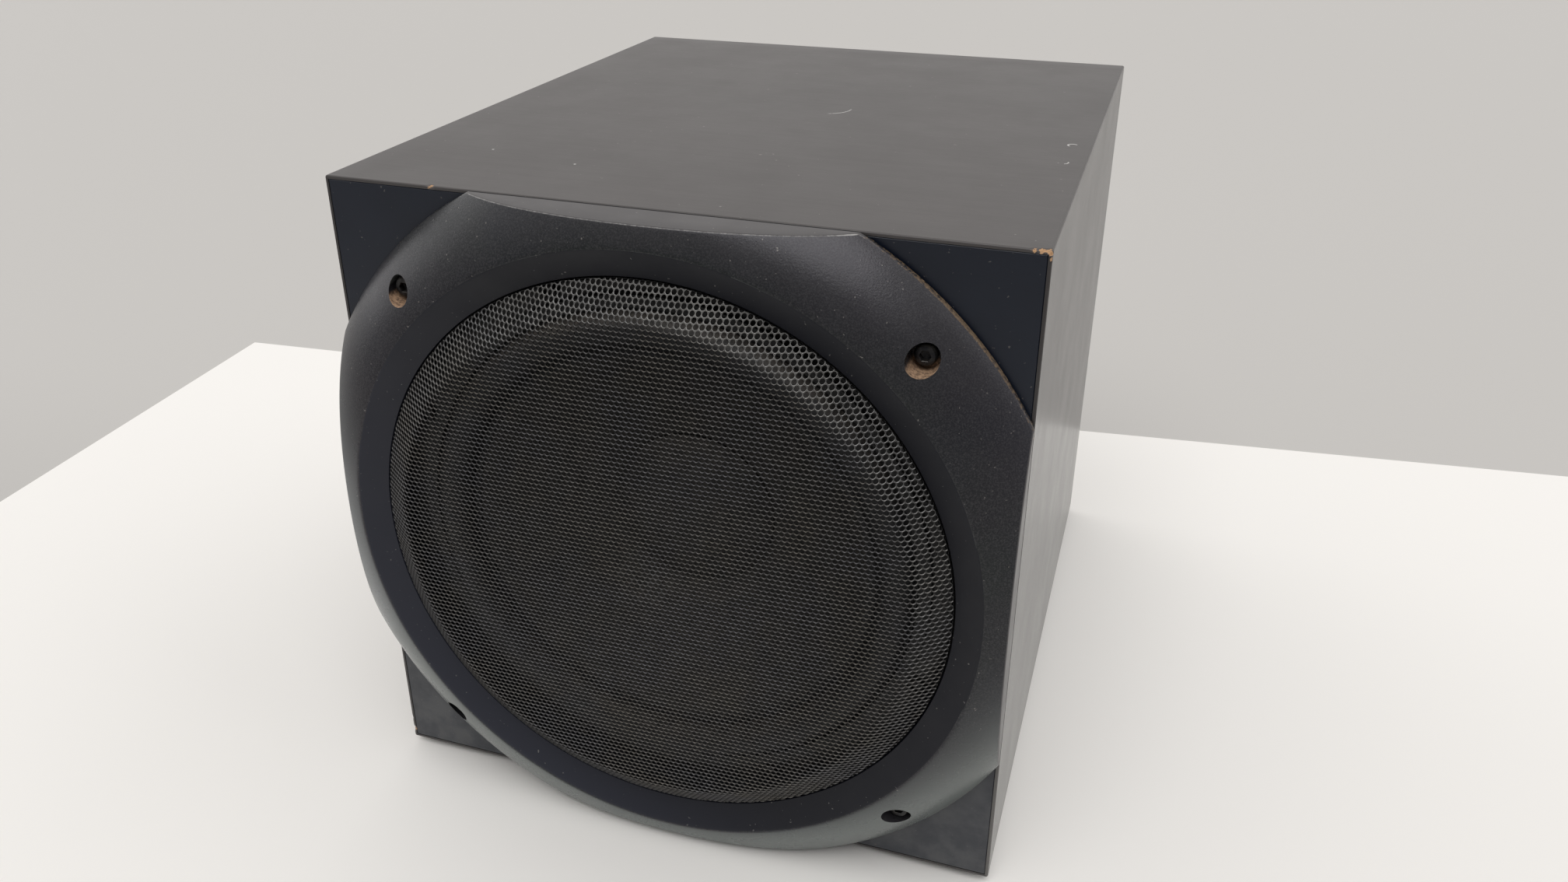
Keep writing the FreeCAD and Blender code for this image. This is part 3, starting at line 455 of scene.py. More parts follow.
def vinyl(name, stretch, gloss_span, run=0.35, lift=1.0, painted_reflection=0.0):
    """The case's satin vinyl: fine embossed grain that runs one way, scratches, scuffs and specks of dust."""
    p = Paint(name, IOR=1.5)
    # A lift above 1 is painted light: a lit copy of the same vinyl.
    base, light, dark = (tuple(lift * c for c in colour) for colour in (
        (0.045, 0.041, 0.040), (0.050, 0.045, 0.044), (0.038, 0.035, 0.034)))
    p.tone = p.blend(p.patch((7, 4, 0.6), 0.3, 0.7), base, light)
    streak = p.scaled(p.speckle(260, 3, 0.5, stretch=stretch), 0.35, 0.65)
    p.over(p.times(streak, run), dark)
    # A lighter lower part, in patches: a painted reflection of the floor.
    if painted_reflection:
        lower_reflection = p.times(p.scaled(p.xyz()["Z"], 0.2, 0.0, 0.0, painted_reflection), p.patch((30, 5), 0.3, 0.7, 0.85))
        p.over(lower_reflection, (0.135, 0.13, 0.122))
    grain = p.speckle(1500, 3, 0.6, stretch=tuple(0.35 + 0.65 * s for s in stretch))
    gloss = p.patch((24, 5, 0.65, (0.4, 0, 0.3)), 0.3, 0.7, *gloss_span)
    p.over(p.patch((420, 1, 0.4, (0.2, 0.8, 0.5)), 0.79, 0.82, 0.0, 0.5), (0.34, 0.32, 0.3))
    # One curved scratch right of the middle and the scuff marks near the right edge of the top.
    pale_marks = p.most(p.scratch((0.0149, 0.0279), 0.0128, (-1.35, 0.12), 0.00042),
                  p.most(p.scratch((0.1442, -0.0088), 0.0022, (0.4, 4.4), 0.00055),
                         p.scratch((0.1430, -0.0400), 0.0026, (-1.3, 0.5), 0.0004)))
    for across, back in ((-0.1068, -0.1009), (-0.0601, -0.1116)):
        pale_marks = p.most(pale_marks, p.near((across, back, 0), (1, 1, 0), 0.0003, 0.0008))
    p.over(p.times(pale_marks, p.near((0, 0, TOP_Z * MM), (0, 0, 1), 0.0004, 0.0012)), (0.55, 0.54, 0.52))
    bare = p.broken_edge(0.35, 0.3, 0.55)
    p.over(bare, p.blend(p.speckle(1800, 4), (0.36, 0.19, 0.09), (0.6, 0.38, 0.21)))
    gloss = p.plus(gloss, p.times(bare, 0.4), True)
    normal = p.bump(streak, 0.000012, 2 * run, p.bump(grain, 0.00004, 0.55))
    return p.finish(Roughness=gloss, Normal=normal)


def baffle_foil():
    """The front board's satin foil, with lint and a lower part made lighter as painted floor reflection."""
    p = Paint("baffle_foil", IOR=1.48)
    p.tone = p.blend(p.patch((18, 4, 0.6), 0.3, 0.7), (0.005, 0.008, 0.017), (0.007, 0.011, 0.022))
    p.over(p.patch((600, 2, 0.4), 0.72, 0.77, 0.0, 0.5), (0.16, 0.15, 0.14))
    # Painted reflection of the floor: the foil grows lighter towards the bottom, in patches.
    settled = p.times(p.scaled(p.xyz()["Z"], 0.14, 0.0, 0.0, 0.75), p.patch((90, 5), 0.3, 0.7, 0.4))
    p.over(settled, (0.09, 0.092, 0.095))
    p.over(p.broken_edge(0.3, 0.7, 0.95), (0.42, 0.2, 0.08))
    gloss = p.patch((40, 4), 0.3, 0.7, 0.36, 0.44)
    return p.finish(Roughness=gloss, Normal=p.bump(p.speckle(1400, 3), 0.00002))


def bezel_dish():
    """The bezel's inner band: a darker, smoother copy of the bezel paint, its darkness a painted shade, lighter to
    the lower left as painted light.
    """
    p = Paint("bezel_dish", IOR=1.37)
    p.tone = p.blend(p.patch((12, 3, 0.5), 0.35, 0.65), (0.004, 0.0048, 0.0095), (0.006, 0.0065, 0.011))
    place = p.xyz()
    # Painted light: lighter towards the lower left.
    painted_light_low_left = p.plus(place["X"], p.times(place["Z"], 0.5))
    p.over(p.scaled(painted_light_low_left, 0.1, -0.06, 0.0, 0.9), (0.022, 0.024, 0.036))
    p.over(p.patch((800, 1, 0.4, (0.1, 0.4, 0.6)), 0.755, 0.79, 0.0, 0.45), (0.26, 0.25, 0.24))
    gloss = p.patch((50, 4), 0.3, 0.7, 0.42, 0.5)
    return p.finish(Roughness=gloss, Normal=p.bump(p.speckle(1300, 3, 0.55), 0.00003, 0.6))


def bezel_paint():
    """Charcoal metallic paint over a fine pebble, scuffed in places, with a painted highlight along the top flat's
    edge, dust along the rim and in the holes, and painted light on what faces up, down or left.
    """
    p = Paint("bezel_paint", IOR=1.6, Specular_Tint=(0.54, 0.54, 0.56, 1))
    place, facing = p.xyz(), p.facing()
    across, height = place["X"], place["Z"]
    p.tone = p.blend(p.patch((9, 3, 0.5), 0.35, 0.65), (0.015, 0.018, 0.018), (0.018, 0.016, 0.021))
    p.over(p.patch((15, 3, 0.5, (0.5, 0.2, 0.9)), 0.45, 0.7, 0.0, 0.7), (0.014, 0.016, 0.023))
    # Painted light: what faces up is lighter in cloudy patches, less on the left, and what faces down or left is
    # lighter still, most at the far left, a painted reflection of the floor and the left wall.
    cloudy = p.patch((34, 5, 0.6, (0.2, 0.7, 0.3)), 0.3, 0.7, 0.75)
    settled = p.times(p.scaled(facing["Z"], 0.0, 0.62, 0.0, 0.8), cloudy)
    p.over(p.times(settled, p.scaled(across, -0.13, 0.05)), (0.054, 0.05, 0.056))
    leftward = p.times(p.plus(facing["X"], p.times(facing["Z"], 1.6)), -0.6)
    painted_side_light = p.scaled(p.most(leftward, p.times(facing["Z"], -1.0)), 0.02, 0.42)
    p.over(painted_side_light, (0.165, 0.186, 0.178))
    p.over(p.times(painted_side_light, p.scaled(across, -0.125, -0.15, 0.0, 0.45)), (0.27, 0.28, 0.3))
    p.over(p.patch((1500, 4, 0.7), 0.42, 0.66, 0.0, 0.45), (0.085, 0.083, 0.087))
    # The flats, and the seam: the bezel's edge by the baffle is painted near black, a painted shade where the two
    # parts meet.
    flats = p.near((0, 0, TOP_Z * MM), (0, 0, 1), 0.00025, 0.0006)
    for side in (-1, 1):
        flats = p.most(flats, p.near((side * HALF * MM, 0, 0), (1, 0, 0), 0.00025, 0.0006))
    p.over(flats, (0.056, 0.052, 0.053))
    seam = p.near((0, FRONT_Y * MM, 0), (0, 1, 0), 0.0017, 0.002)
    p.over(seam, (0.003, 0.003, 0.003))
    # Wear and a painted highlight along the top flat's edge, dust along the rim, and dirt in the lower half of the
    # two upper holes.
    fray = p.speckle(700, 4, 0.65)
    bright = p.plus(p.attribute("scuff_and_highlight"), p.scaled(fray, 0.2, 0.8, -0.2, 0.1))
    p.over(p.scaled(bright, 0.3, 0.9, 0.0, 0.85), (0.42, 0.41, 0.4))
    rim = p.plus(p.attribute("dusty"), p.scaled(fray, 0.2, 0.8, -0.6, 0.3))
    rim = p.scaled(rim, 0.35, 1.0, 0.0, 0.75)
    p.over(rim, p.blend(p.speckle(1100, 3), (0.13, 0.075, 0.035), (0.3, 0.22, 0.14)))
    hole_z = AXIS_Z + HOLE_SPREAD
    dirt = p.most(*(p.near((x * MM, 0, hole_z * MM), (1, 0, 1), 0.00632, 0.00645)
                    for x in (-HOLE_SPREAD, HOLE_SPREAD)))
    dirt = p.times(dirt, p.scaled(height, (hole_z - 1.5) * MM, (hole_z - 4.0) * MM))
    dirt = p.times(dirt, p.scaled(fray, 0.3, 0.62, 0.35))
    p.over(dirt, p.blend(fray, (0.22, 0.12, 0.06), (0.56, 0.38, 0.25)))
    p.over(p.patch((800, 1, 0.4, (0.1, 0.4, 0.6)), 0.755, 0.79, 0.0, 0.55), (0.3, 0.28, 0.26))
    matt = p.most(rim, dirt)
    gloss = p.patch((50, 4), 0.3, 0.7, 0.25, 0.31)
    for share, rise in ((matt, 0.45), (flats, 0.06), (seam, 0.6)):
        gloss = p.plus(gloss, p.times(share, rise), True)
    metal = p.scaled(p.most(matt, flats), 0.0, 0.9, 0.2, 0.0)
    relief = p.times(p.minus(1.0, flats), p.scaled(height, (AXIS_Z - 60) * MM, (AXIS_Z + 90) * MM, 0.12))
    pebble = p.bump(p.times(p.speckle(1300, 3, 0.55), relief), 0.00009, 0.7)
    return p.finish(Roughness=gloss, Metallic=metal, Normal=p.bump(p.times(fray, relief), 0.00002, 0.5, pebble))


def screen_paint():
    """The grille's satin black, with a metallic lip round each hole whose lighter tone is a painted highlight,
    lightest on the upper slope.
    """
    p = Paint("screen_paint", IOR=1.27)
    lip = p.attribute("lip")
    p.tone = p.blend(p.patch((26, 4, 0.6), 0.35, 0.65), (0.0045, 0.0045, 0.005), (0.006, 0.0055, 0.0055))
    # Painted highlight: the lip of each hole takes a lighter metal tone, lightest on the upper slope.
    bare = p.blend(p.patch((30, 4, 0.6, (0.1, 0.5, 0.8)), 0.3, 0.7), (0.244, 0.24, 0.251), (0.264, 0.244, 0.216))
    p.over(p.times(lip, p.patch((200, 3, 0.5, (0.7, 0.1, 0.3)), 0.3, 0.7, 0.75)), bare)
    pale_marks = p.times(p.times(p.attribute("slope"), lip), p.patch((160, 4), 0.35, 0.65, 0.5))
    p.over(pale_marks, (0.75, 0.74, 0.72))
    smudge = p.near((0, 0, AXIS_Z * MM), (1, 0, 1), 0.004, 0.017)
    p.over(p.times(smudge, p.patch((240, 4), 0.4, 0.6, 0.0, 0.3)), (0.14, 0.14, 0.14))
    gloss = p.patch((120, 4), 0.3, 0.7, 0.36, 0.5)
    return p.finish(Roughness=gloss, Metallic=p.times(lip, 0.5), Normal=p.bump(p.speckle(2600, 2), 0.00001))


def winding_tape():
    """Yellow tape wound round the transformer in laps."""
    p = Paint("winding_tape", IOR=1.5, Coat_Weight=0.4)
    low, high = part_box("toroidal_transformer")
    middle = tuple((low + high) / 2)
    parts = p.xyz(p.add("VectorMath", {0: p.place(), 1: middle}, operation="SUBTRACT").outputs[0])
    laps = 58
    lap = p.scaled(p.maths("SINE", p.times(p.maths("ARCTAN2", parts["Y"], parts["X"]), laps)), -0.2, 0.9)
    p.tone = p.blend(lap, (0.52, 0.36, 0.05), (0.7, 0.52, 0.1))
    p.over(p.patch((60, 4), 0.4, 0.7, 0.0, 0.4), (0.34, 0.22, 0.05))
    return p.finish(Roughness=p.patch((90, 3), 0.3, 0.7, 0.25, 0.4), Normal=p.bump(lap, 0.0003, 0.8))


def woven(name, colour, pitch):
    """A plain weave seen from the front, for the spider."""
    p = Paint(name, Roughness=0.85, Sheen_Weight=0.3)
    place = p.xyz()
    waves = [p.maths("SINE", p.times(place[axis], 2 * math.pi / pitch)) for axis in "XZ"]
    weave = p.scaled(p.times(*waves), -1.0, 1.0)
    p.tone = p.blend(weave, tuple(c * 0.5 for c in colour), colour)
    return p.finish(Normal=p.bump(weave, 0.0003))


def wound(name, colour, pitch):
    """Enamelled wire turns about the Y axis."""
    p = Paint(name, Metallic=0.9)
    turn = p.scaled(p.maths("SINE", p.times(p.xyz()["Y"], 2 * math.pi / pitch)), -1.0, 1.0)
    p.tone = p.blend(turn, tuple(c * 0.35 for c in colour), colour)
    return p.finish(Roughness=p.patch((400, 3), 0.3, 0.7, 0.2, 0.35), Normal=p.bump(turn, 0.0001))


HOLE_SPREAD = (span("bezel_screws")[1][0] - span("bezel_screws")[0][0]) / 2 - 4.6
BEZEL_HOLES = corners_of(2 * HOLE_SPREAD, 2 * HOLE_SPREAD)
BRUSH_X = (0.06, 1, 1)

# By slot: the colours and the other values of finish_of, in its order.
FINISHES = {
    "rear_board_finish": ((0.028, 0.028, 0.03), None, 30, (0.5, 0.65), 0, 1300, 20, 0.2),
    "foot_rubber": ((0.022, 0.022, 0.023), None, 200, (0.7, 0.85), 0, 2500, 50, 0.3),
    "black_screw": ((0.018, 0.018, 0.02), (0.05, 0.048, 0.046), 300, (0.28, 0.42), 0.7, 2200, 20, 0.2),
    "foam_gasket": ((0.012, 0.012, 0.012), None, 500, (0.85, 0.95), 0, 1800, 200),
    "retainer_finish": ((0.02, 0.02, 0.02), None, 150, (0.5, 0.65), 0, 1500),
    "basket_finish": ((0.02, 0.02, 0.021), (0.035, 0.034, 0.033), 120, (0.3, 0.45), 0.3, 1600, 30, 0.2),
    "surround_rubber": ((0.02, 0.02, 0.021), None, 80, (0.5, 0.65), 0, 1500, 40, 0.35),
    "cone_paper": ((0.022, 0.021, 0.02), (0.04, 0.037, 0.033), 160, (0.65, 0.8), 0, 900, 150, 0.25),
    "coil_former": ((0.76, 0.76, 0.77), None, 90, (0.25, 0.4), 1, 900, 20, 0, 0, BRUSH_X),
    "motor_steel": ((0.52, 0.53, 0.54), (0.4, 0.41, 0.42), 70, (0.28, 0.42), 1, 1400),
    "ferrite": ((0.035, 0.035, 0.037), (0.06, 0.058, 0.056), 260, (0.55, 0.7), 0, 1800, 80),
    "solder_tab": ((0.72, 0.7, 0.64), None, 200, (0.25, 0.4), 1, 1200),
    "amp_plate_finish": (
        (0.022, 0.022, 0.024), (0.03, 0.03, 0.032), 140, (0.36, 0.5), 0.45, 2600, 10, 0.1, 0, BRUSH_X),
    "sink_finish": (
        (0.02, 0.02, 0.022), (0.03, 0.03, 0.033), 110, (0.32, 0.45), 0.5, 1800, 20, 0.25, 0, (1, 1, 0.05)),
    "terminal_plastic": ((0.02, 0.02, 0.021), None, 160, (0.42, 0.55), 0, 1900, 20, 0.15),
    "red_lever": ((0.5, 0.018, 0.016), (0.4, 0.012, 0.012), 60, (0.25, 0.34), 0, 1500, 4, 0.04, 0.3),
    "black_lever": ((0.016, 0.016, 0.017), None, 60, (0.25, 0.34), 0, 1500, 4, 0.05, 0.3),
    "pin_steel": ((0.62, 0.62, 0.63), (0.5, 0.5, 0.51), 200, (0.2, 0.35), 1, 1800),
    "socket_finish": ((0.45, 0.45, 0.47), (0.36, 0.36, 0.38), 150, (0.3, 0.45), 0.9, 1700),
    "switch_plastic": ((0.017, 0.017, 0.018), None, 150, (0.3, 0.42), 0, 1700, 20, 0.15),
    "rocker_plastic": ((0.02, 0.02, 0.021), None, 150, (0.22, 0.34), 0, 1700, 20, 0.15, 0.2),
    "fuse_plastic": ((0.02, 0.02, 0.02), None, 150, (0.4, 0.52), 0, 1700, 20, 0.15),
    "inlet_plastic": ((0.018, 0.018, 0.018), None, 150, (0.4, 0.52), 0, 1700, 20, 0.15),
    "plated_pin": ((0.72, 0.7, 0.62), None, 300, (0.2, 0.32), 1, 1700),
    "board_laminate": ((0.02, 0.14, 0.05), (0.015, 0.09, 0.035), 260, (0.25, 0.4), 0, 700, 60),
    "standoff_brass": ((0.78, 0.58, 0.26), None, 200, (0.22, 0.36), 1, 1700),
    "transistor_case": ((0.022, 0.022, 0.023), None, 260, (0.5, 0.62), 0, 2400, 40),
    "capacitor_sleeve": ((0.03, 0.04, 0.11), None, 140, (0.22, 0.34), 0, 900, 20, 0, 0.3),
    "lead_jacket": ((0.03, 0.03, 0.03), None, 200, (0.5, 0.62), 0, 1500),
}
material_of = {slot: finish_of(slot, *values) for slot, values in FINISHES.items()}
material_of |= {
    "baffle_finish": baffle_foil(),
    "bezel_finish": bezel_paint(),
    "grille_finish": screen_paint(),
    "spider_cloth": woven("spider_cloth", (0.5, 0.32, 0.09), 0.0014),
    "coil_wire": wound("coil_wire", (0.62, 0.26, 0.11), 0.0004),
    "transformer_winding": winding_tape(),
}
ALONG_X, ALONG_Z = (0.03, 1, 1), (1, 1, 0.03)
board_vinyl = {
    # The top board's vinyl is lifted 1.42 times, as painted light: a lit copy of the vinyl of the other boards.
    "top": vinyl("vinyl_top", ALONG_X, (0.38, 0.42), lift=1.42),
    # The right board grows lighter towards the bottom, a painted reflection of the floor.
    "right": vinyl("vinyl_right", ALONG_Z, (0.22, 0.26), run=0.12, painted_reflection=0.75),
    "bottom": vinyl("vinyl_bottom", ALONG_X, (0.39, 0.43)),
    "left": vinyl("vinyl_left", ALONG_Z, (0.33, 0.38)),
}


# ---------------- case boards


CORNER = np.array([HALF, FRONT_Y, TOP_Z])


def ripple(points, scale, seed):
    """Smooth noise about 0 at each point, with scale in waves per millimetre."""
    shift = Vector((seed, seed * 2.3, seed * 0.7))
    return np.array([noise.noise(Vector(point) * scale + shift) for point in points])


def damaged(points):
    """Crush the front top right corner and chip the edges. Gives the points and how deep each was cut."""
    moved = points.copy()
    cut = np.zeros(len(points))
    inward = np.array([-0.42, 1.0, -1.0]) / math.sqrt(2 + 0.42**2)
    near = np.linalg.norm(points - CORNER, axis=1) < 16
    depth = (points[near] - CORNER) @ inward
    limit = 1.7 + 0.7 * ripple(points[near], 0.35, 3.1) + 0.35 * ripple(points[near], 1.3, 5.2)
    lift = np.clip(limit - depth, 0, None)
    moved[near] += lift[:, None] * inward
    cut[near] = np.clip(lift * 1.2, 0, 1)
    for spot, radius, push, way in (
        ((-102.0, FRONT_Y, TOP_Z), 2.1, 0.3, (0, 1, -1)),
        ((HALF - 3.6, FRONT_Y, TOP_Z), 2.2, 0.38, (0, 1, -1)),
        ((HALF - 6.6, FRONT_Y, TOP_Z), 2.0, 0.24, (0, 1, -1)),
        ((HALF, FRONT_Y, TOP_Z - 3.2), 1.4, 0.3, (-1, 1, 0)),
        ((-HALF, FRONT_Y, 9.0), 2.4, 0.25, (1, 1, 0)),
        ((-HALF, FRONT_Y, 16.0), 1.4, 0.2, (1, 1, 0)),
        ((HALF, FRONT_Y, 236.0), 1.6, 0.35, (-1, 1, 0)),
        ((HALF, CASE_BACK, 118.0), 2.4, 0.45, (-1, -1, 0)),
    ):
        gap = np.linalg.norm(points - np.array(spot), axis=1)
        near = gap < radius
        lift = (radius - gap[near]) * push * (1 + 0.6 * ripple(points[near], 0.9, 8.4))
        way = np.array(way, float) / np.linalg.norm(way)
        moved[near] += np.clip(lift, 0, None)[:, None] * way
        cut[near] = np.maximum(cut[near], np.clip(lift * 1.6, 0, 1))
    return moved, cut


def lines(low, high, fine, reach=14.0, step=0.5, coarse=12.0):
    """Grid lines from low to high, close together within reach of each place in fine."""
    made = set(np.round(np.linspace(low, high, max(2, int((high - low) / coarse) + 1)), 3))
    for place in fine:
        for value in np.arange(place - reach, place + reach + step / 2, step):
            if low < value < high:
                made.add(round(float(value), 3))
    made = sorted(made)
    kept = [made[0]]
    for value in made[1:-1]:
        if value - kept[-1] > step * 0.6 and made[-1] - value > step * 0.6:
            kept.append(value)
    return np.array(kept + [made[-1]])


def case_board(side, turn, fine_along, fine_back=()):
    """A vinyl board with mitred ends, its half of two rounded corners, and a lip round the baffle."""
    corner, nose = 1.1, 0.7
    flat = lines(-HALF + corner, HALF - corner, fine_along)
    arc = np.linspace(math.pi / 4, math.pi / 2, 4)[:-1]
    nose_arc = [(nose * (1 - math.cos(t)), nose * (1 - math.sin(t))) for t in np.linspace(0, math.pi / 2, 5)]
    depth = CASE_BACK - FRONT_Y
    stations = nose_arc + [(back, 0.0) for back in lines(nose, depth - nose, (nose,) + tuple(fine_back))[1:]]
    stations += [(depth - back, drop) for back, drop in nose_arc[-2::-1]]
    rows = []
    for back, drop in stations:
        size = corner - drop
        right_arc = [(HALF - corner + size * math.cos(t), HALF - corner + size * math.sin(t)) for t in arc]
        outer = [(-x, z) for x, z in right_arc] + [(x, HALF - drop) for x in flat] + right_arc[::-1]
        places = [(back, HALF - RECESS if back < BOARD else HALF - BOARD)]
        if back < BOARD and stations[stations.index((back, drop)) + 1][0] >= BOARD:
            places += [(BOARD, HALF - RECESS), (BOARD, HALF - BOARD)]
        for y, deep in places:
            scale = deep / outer[-1][0]
            rows.append([(x, y, z) for x, z in outer] + [(x * scale, y, deep) for x, z in reversed(outer)])
    count = len(rows[0])
    points = np.array(rows).reshape(-1, 3)
    faces = tube_faces(len(rows), count)
    for first in (0, (len(rows) - 1) * count):
        for i in range(count // 2 - 1):
            faces.append((first + i, first + i + 1, first + count - 2 - i, first + count - 1 - i))
    c, s = math.cos(turn), math.sin(turn)
    world = np.column_stack([points[:, 0] * c + points[:, 2] * s, FRONT_Y + points[:, 1],
                             AXIS_Z - points[:, 0] * s + points[:, 2] * c])
    world, cut = damaged(world)
    return piece(side + "_board", world, faces, "laminate", side + "_panel", sharp=40,
                 attributes={"chip": cut}, paint=board_vinyl[side])


def left_port_hole(board):
    """Cut the port's recess and hole through the left board."""
    flange = (port_high - port_low)[1] / 2 + 0.15
    for radius, low, high in ((flange, -3.0, 5.0), (44.7, -20.0, 5.0)):
        cut_away(board, left, drum(radius, low, high, turns=128))
    smooth(board.data)


def case():
    case_board("top", 0.0, (-102.0, HALF))
    case_board("right", math.pi / 2, (-HALF, AXIS_Z - 236.0, AXIS_Z - 118.0), (CASE_BACK - FRONT_Y - 4,))
    case_board("bottom", math.pi, (HALF,))
    left_port_hole(case_board("left", -math.pi / 2, (-HALF, 12.0 - AXIS_Z)))


def baffle():
    """The front board with its round cutout, its edges eased where they meet the case."""
    half, ease = HALF - RECESS - 0.12, 0.35
    across = lines(-half, half, (half,), 12, 0.5, 16)
    across = np.concatenate([[-half, -half + ease], across[1:-1], [half - ease, half]])
    grid_x, grid_z = np.meshgrid(across, across, indexing="ij")
    edge = np.maximum(np.abs(grid_x), np.abs(grid_z))
    size = len(across)
    fore = np.where(edge > half - 0.01, -ease, 0.0)
    points = np.concatenate([np.stack([grid_x, grid_z, level], -1).reshape(-1, 3)
                             for level in (fore, np.full_like(fore, -BOARD))])
    faces = []
    for i in range(size - 1):
        for j in range(size - 1):
            a, b, c, d = i * size + j, (i + 1) * size + j, (i + 1) * size + j + 1, i * size + j + 1
            faces += [(a, b, c, d), (a + size**2, d + size**2, c + size**2, b + size**2)]
    last = size - 1
    loop = [i * size for i in range(last)] + [last * size + j for j in range(last)]
    loop += [i * size + last for i in range(last, 0, -1)] + list(range(last, 0, -1))
    for a, b in zip(loop, loop[1:] + loop[:1]):
        faces.append((a, b, b + size**2, a + size**2))
    world, cut = damaged(front(points))
    obj = piece("baffle", world, faces, "baffle_finish", "front_baffle", attributes={"chip": cut})
    cut_away(obj, front, drum(116, -20, 5, turns=160))
    smooth(obj.data)


# ---------------- bezel


BEZEL_RIM, CROWN, GRILLE_EDGE = 174.4, 144.0, 131.4
ARC_CENTRE, ARC_DROP, ARC = 129.5, -30.5, 56.0


def bezel_height(radius):
    """The bezel's height above the baffle: a convex outer band, a soft crown and a dished inner band."""
    outer = ARC_DROP + np.sqrt(np.clip(ARC**2 - (radius - ARC_CENTRE) ** 2, 0, None))
    inner = 18.4 + (radius - GRILLE_EDGE) * (23.6 - 18.4) / (CROWN - GRILLE_EDGE)
    soft = 0.3
    return -soft * np.log(np.exp(-outer / soft) + np.exp(-inner / soft))


def bezel_ring():
    flat = math.degrees(math.acos(HALF / BEZEL_RIM))
    angles = set(np.round(np.arange(0, 360, 0.3), 4))
    for quarter in (0, 90, 180, 270):
        for side in (-1, 1):
            place = (quarter + side * flat) % 360
            angles = {angle for angle in angles if abs(angle - place) > 0.16}
            angles.add(round(place, 4))
    angles = np.radians(sorted(angles))
    rim = np.minimum(BEZEL_RIM, HALF / np.maximum(np.abs(np.cos(angles)), np.abs(np.sin(angles))))
    ease = 0.7

    def ring(radius, height):
        return np.column_stack([radius + 0 * rim, height + 0 * rim])

    rows = [ring(GRILLE_EDGE, 15.9), ring(GRILLE_EDGE, 17.9)]
    for share in (0.02, 0.3, 0.6, 0.8, 0.9):
        radius = GRILLE_EDGE + (CROWN - GRILLE_EDGE) * share
        rows.append(ring(radius, bezel_height(radius)))
    for share in np.concatenate([[0.0, 0.02, 0.045, 0.08], np.linspace(0.13, 1, 13)]):
        radius = (CROWN - 0.6) + (rim - ease - CROWN + 0.6) * share
        rows.append(ring(radius, bezel_height(radius)))
    start = ring(rim - ease, bezel_height(rim - ease))
    middle = ring(rim, bezel_height(rim))
    last = ring(rim, np.maximum(bezel_height(rim) - ease, 1.5))
    edge_from = len(rows) - 1
    for t in (0.25, 0.5, 0.75, 1.0):
        rows.append((1 - t) ** 2 * start + 2 * t * (1 - t) * middle + t * t * last)
    edge_to = len(rows)
    rows += [ring(rim, last[:, 1] * 0.5 + 0.5), ring(rim, 1.0)]
    rows += [ring(*corner) for corner in ((143.5, 1.0), (143.5, 12.9), (141.0, 12.9), (141.0, 15.9))]
    rows = np.array(rows)
    count, turns = len(rows), len(angles)
    around = [rows[:, :, 0] * wave(angles) for wave in (np.cos, np.sin)]
    points = np.stack(around + [rows[:, :, 1]], -1).transpose(1, 0, 2).reshape(-1, 3)
    degrees = np.degrees(angles)
    on_rim = (rim > BEZEL_RIM - 0.05).astype(float)
    upper = np.exp(-((degrees - 44) / 17) ** 2) + 0.3 * np.exp(-((degrees - 132) / 18) ** 2)
    dusty = np.zeros((turns, count))
    dusty[:, edge_to - 4:edge_to + 2] = (on_rim * (0.2 + 0.85 * upper))[:, None]
    spot = np.exp(-((degrees - (90 - flat)) / 1.6) ** 2)
    top_flat = (np.abs(degrees - 90) < 90 - flat).astype(float) * (1 - on_rim)
    scuff_and_highlight = np.zeros((turns, count))
    # The top flat's rounded edge is lighter as a painted highlight; the spot at its right end is wear.
    scuff_and_highlight[:, edge_from + 1:edge_to - 2] = (0.6 * top_flat + 0.6 * spot)[:, None]
    # The values by point go on before the holes are cut, so that the cut keeps them.
    obj = piece("bezel", front(points), turned_faces(turns, count, count), "bezel_finish", "front_bezel",
                sharp=33, attributes={"dusty": dusty.ravel(), "scuff_and_highlight": scuff_and_highlight.ravel()})
    for size, low, high, sides in ((6.25, 8.0, 40.0, 72), (2.8, -1.0, 9.0, 32)):
        cut_away(obj, front, merged([drum(size, low, high, across, up, sides) for across, up in BEZEL_HOLES]))
    smooth(obj.data, 33)
    # The inner band takes the darker copy of the paint, as painted shade.
    obj.data.materials.append(bezel_dish())
    middles = np.array([polygon.center for polygon in obj.data.polygons]) / MM
    inside = np.hypot(middles[:, 0], middles[:, 2] - AXIS_Z) < CROWN - 0.1
    obj.data.polygons.foreach_set("material_index", inside.astype(np.int32))


# ---------------- grille


SCREEN_RIM = 130.9


def grille_surface(flat):
    """The stamped screen's radius, height and slope share for a flat radius: a dome, a slope and a rim."""
    rim, shoulder = SCREEN_RIM, 116.7
    crown, rise = GRILLE_FRONT, GRILLE_FRONT - 1.8
    dome = crown - (flat / shoulder) ** 2 * (crown - rise)
    slope = rise - (flat - shoulder) * (rise - 18.8) / (rim - shoulder)
    soft = 0.7
    height = -soft * np.log(np.exp(-(dome - rise) / soft) + np.exp(-(slope - rise) / soft)) + rise
    beyond = np.clip(flat - rim, 0, None)
    height = np.where(beyond > 0, 18.8 - beyond, np.minimum(height, crown))
    share = np.clip((flat - shoulder + 2) / 4, 0, 1)
    return np.minimum(flat, rim), height, share


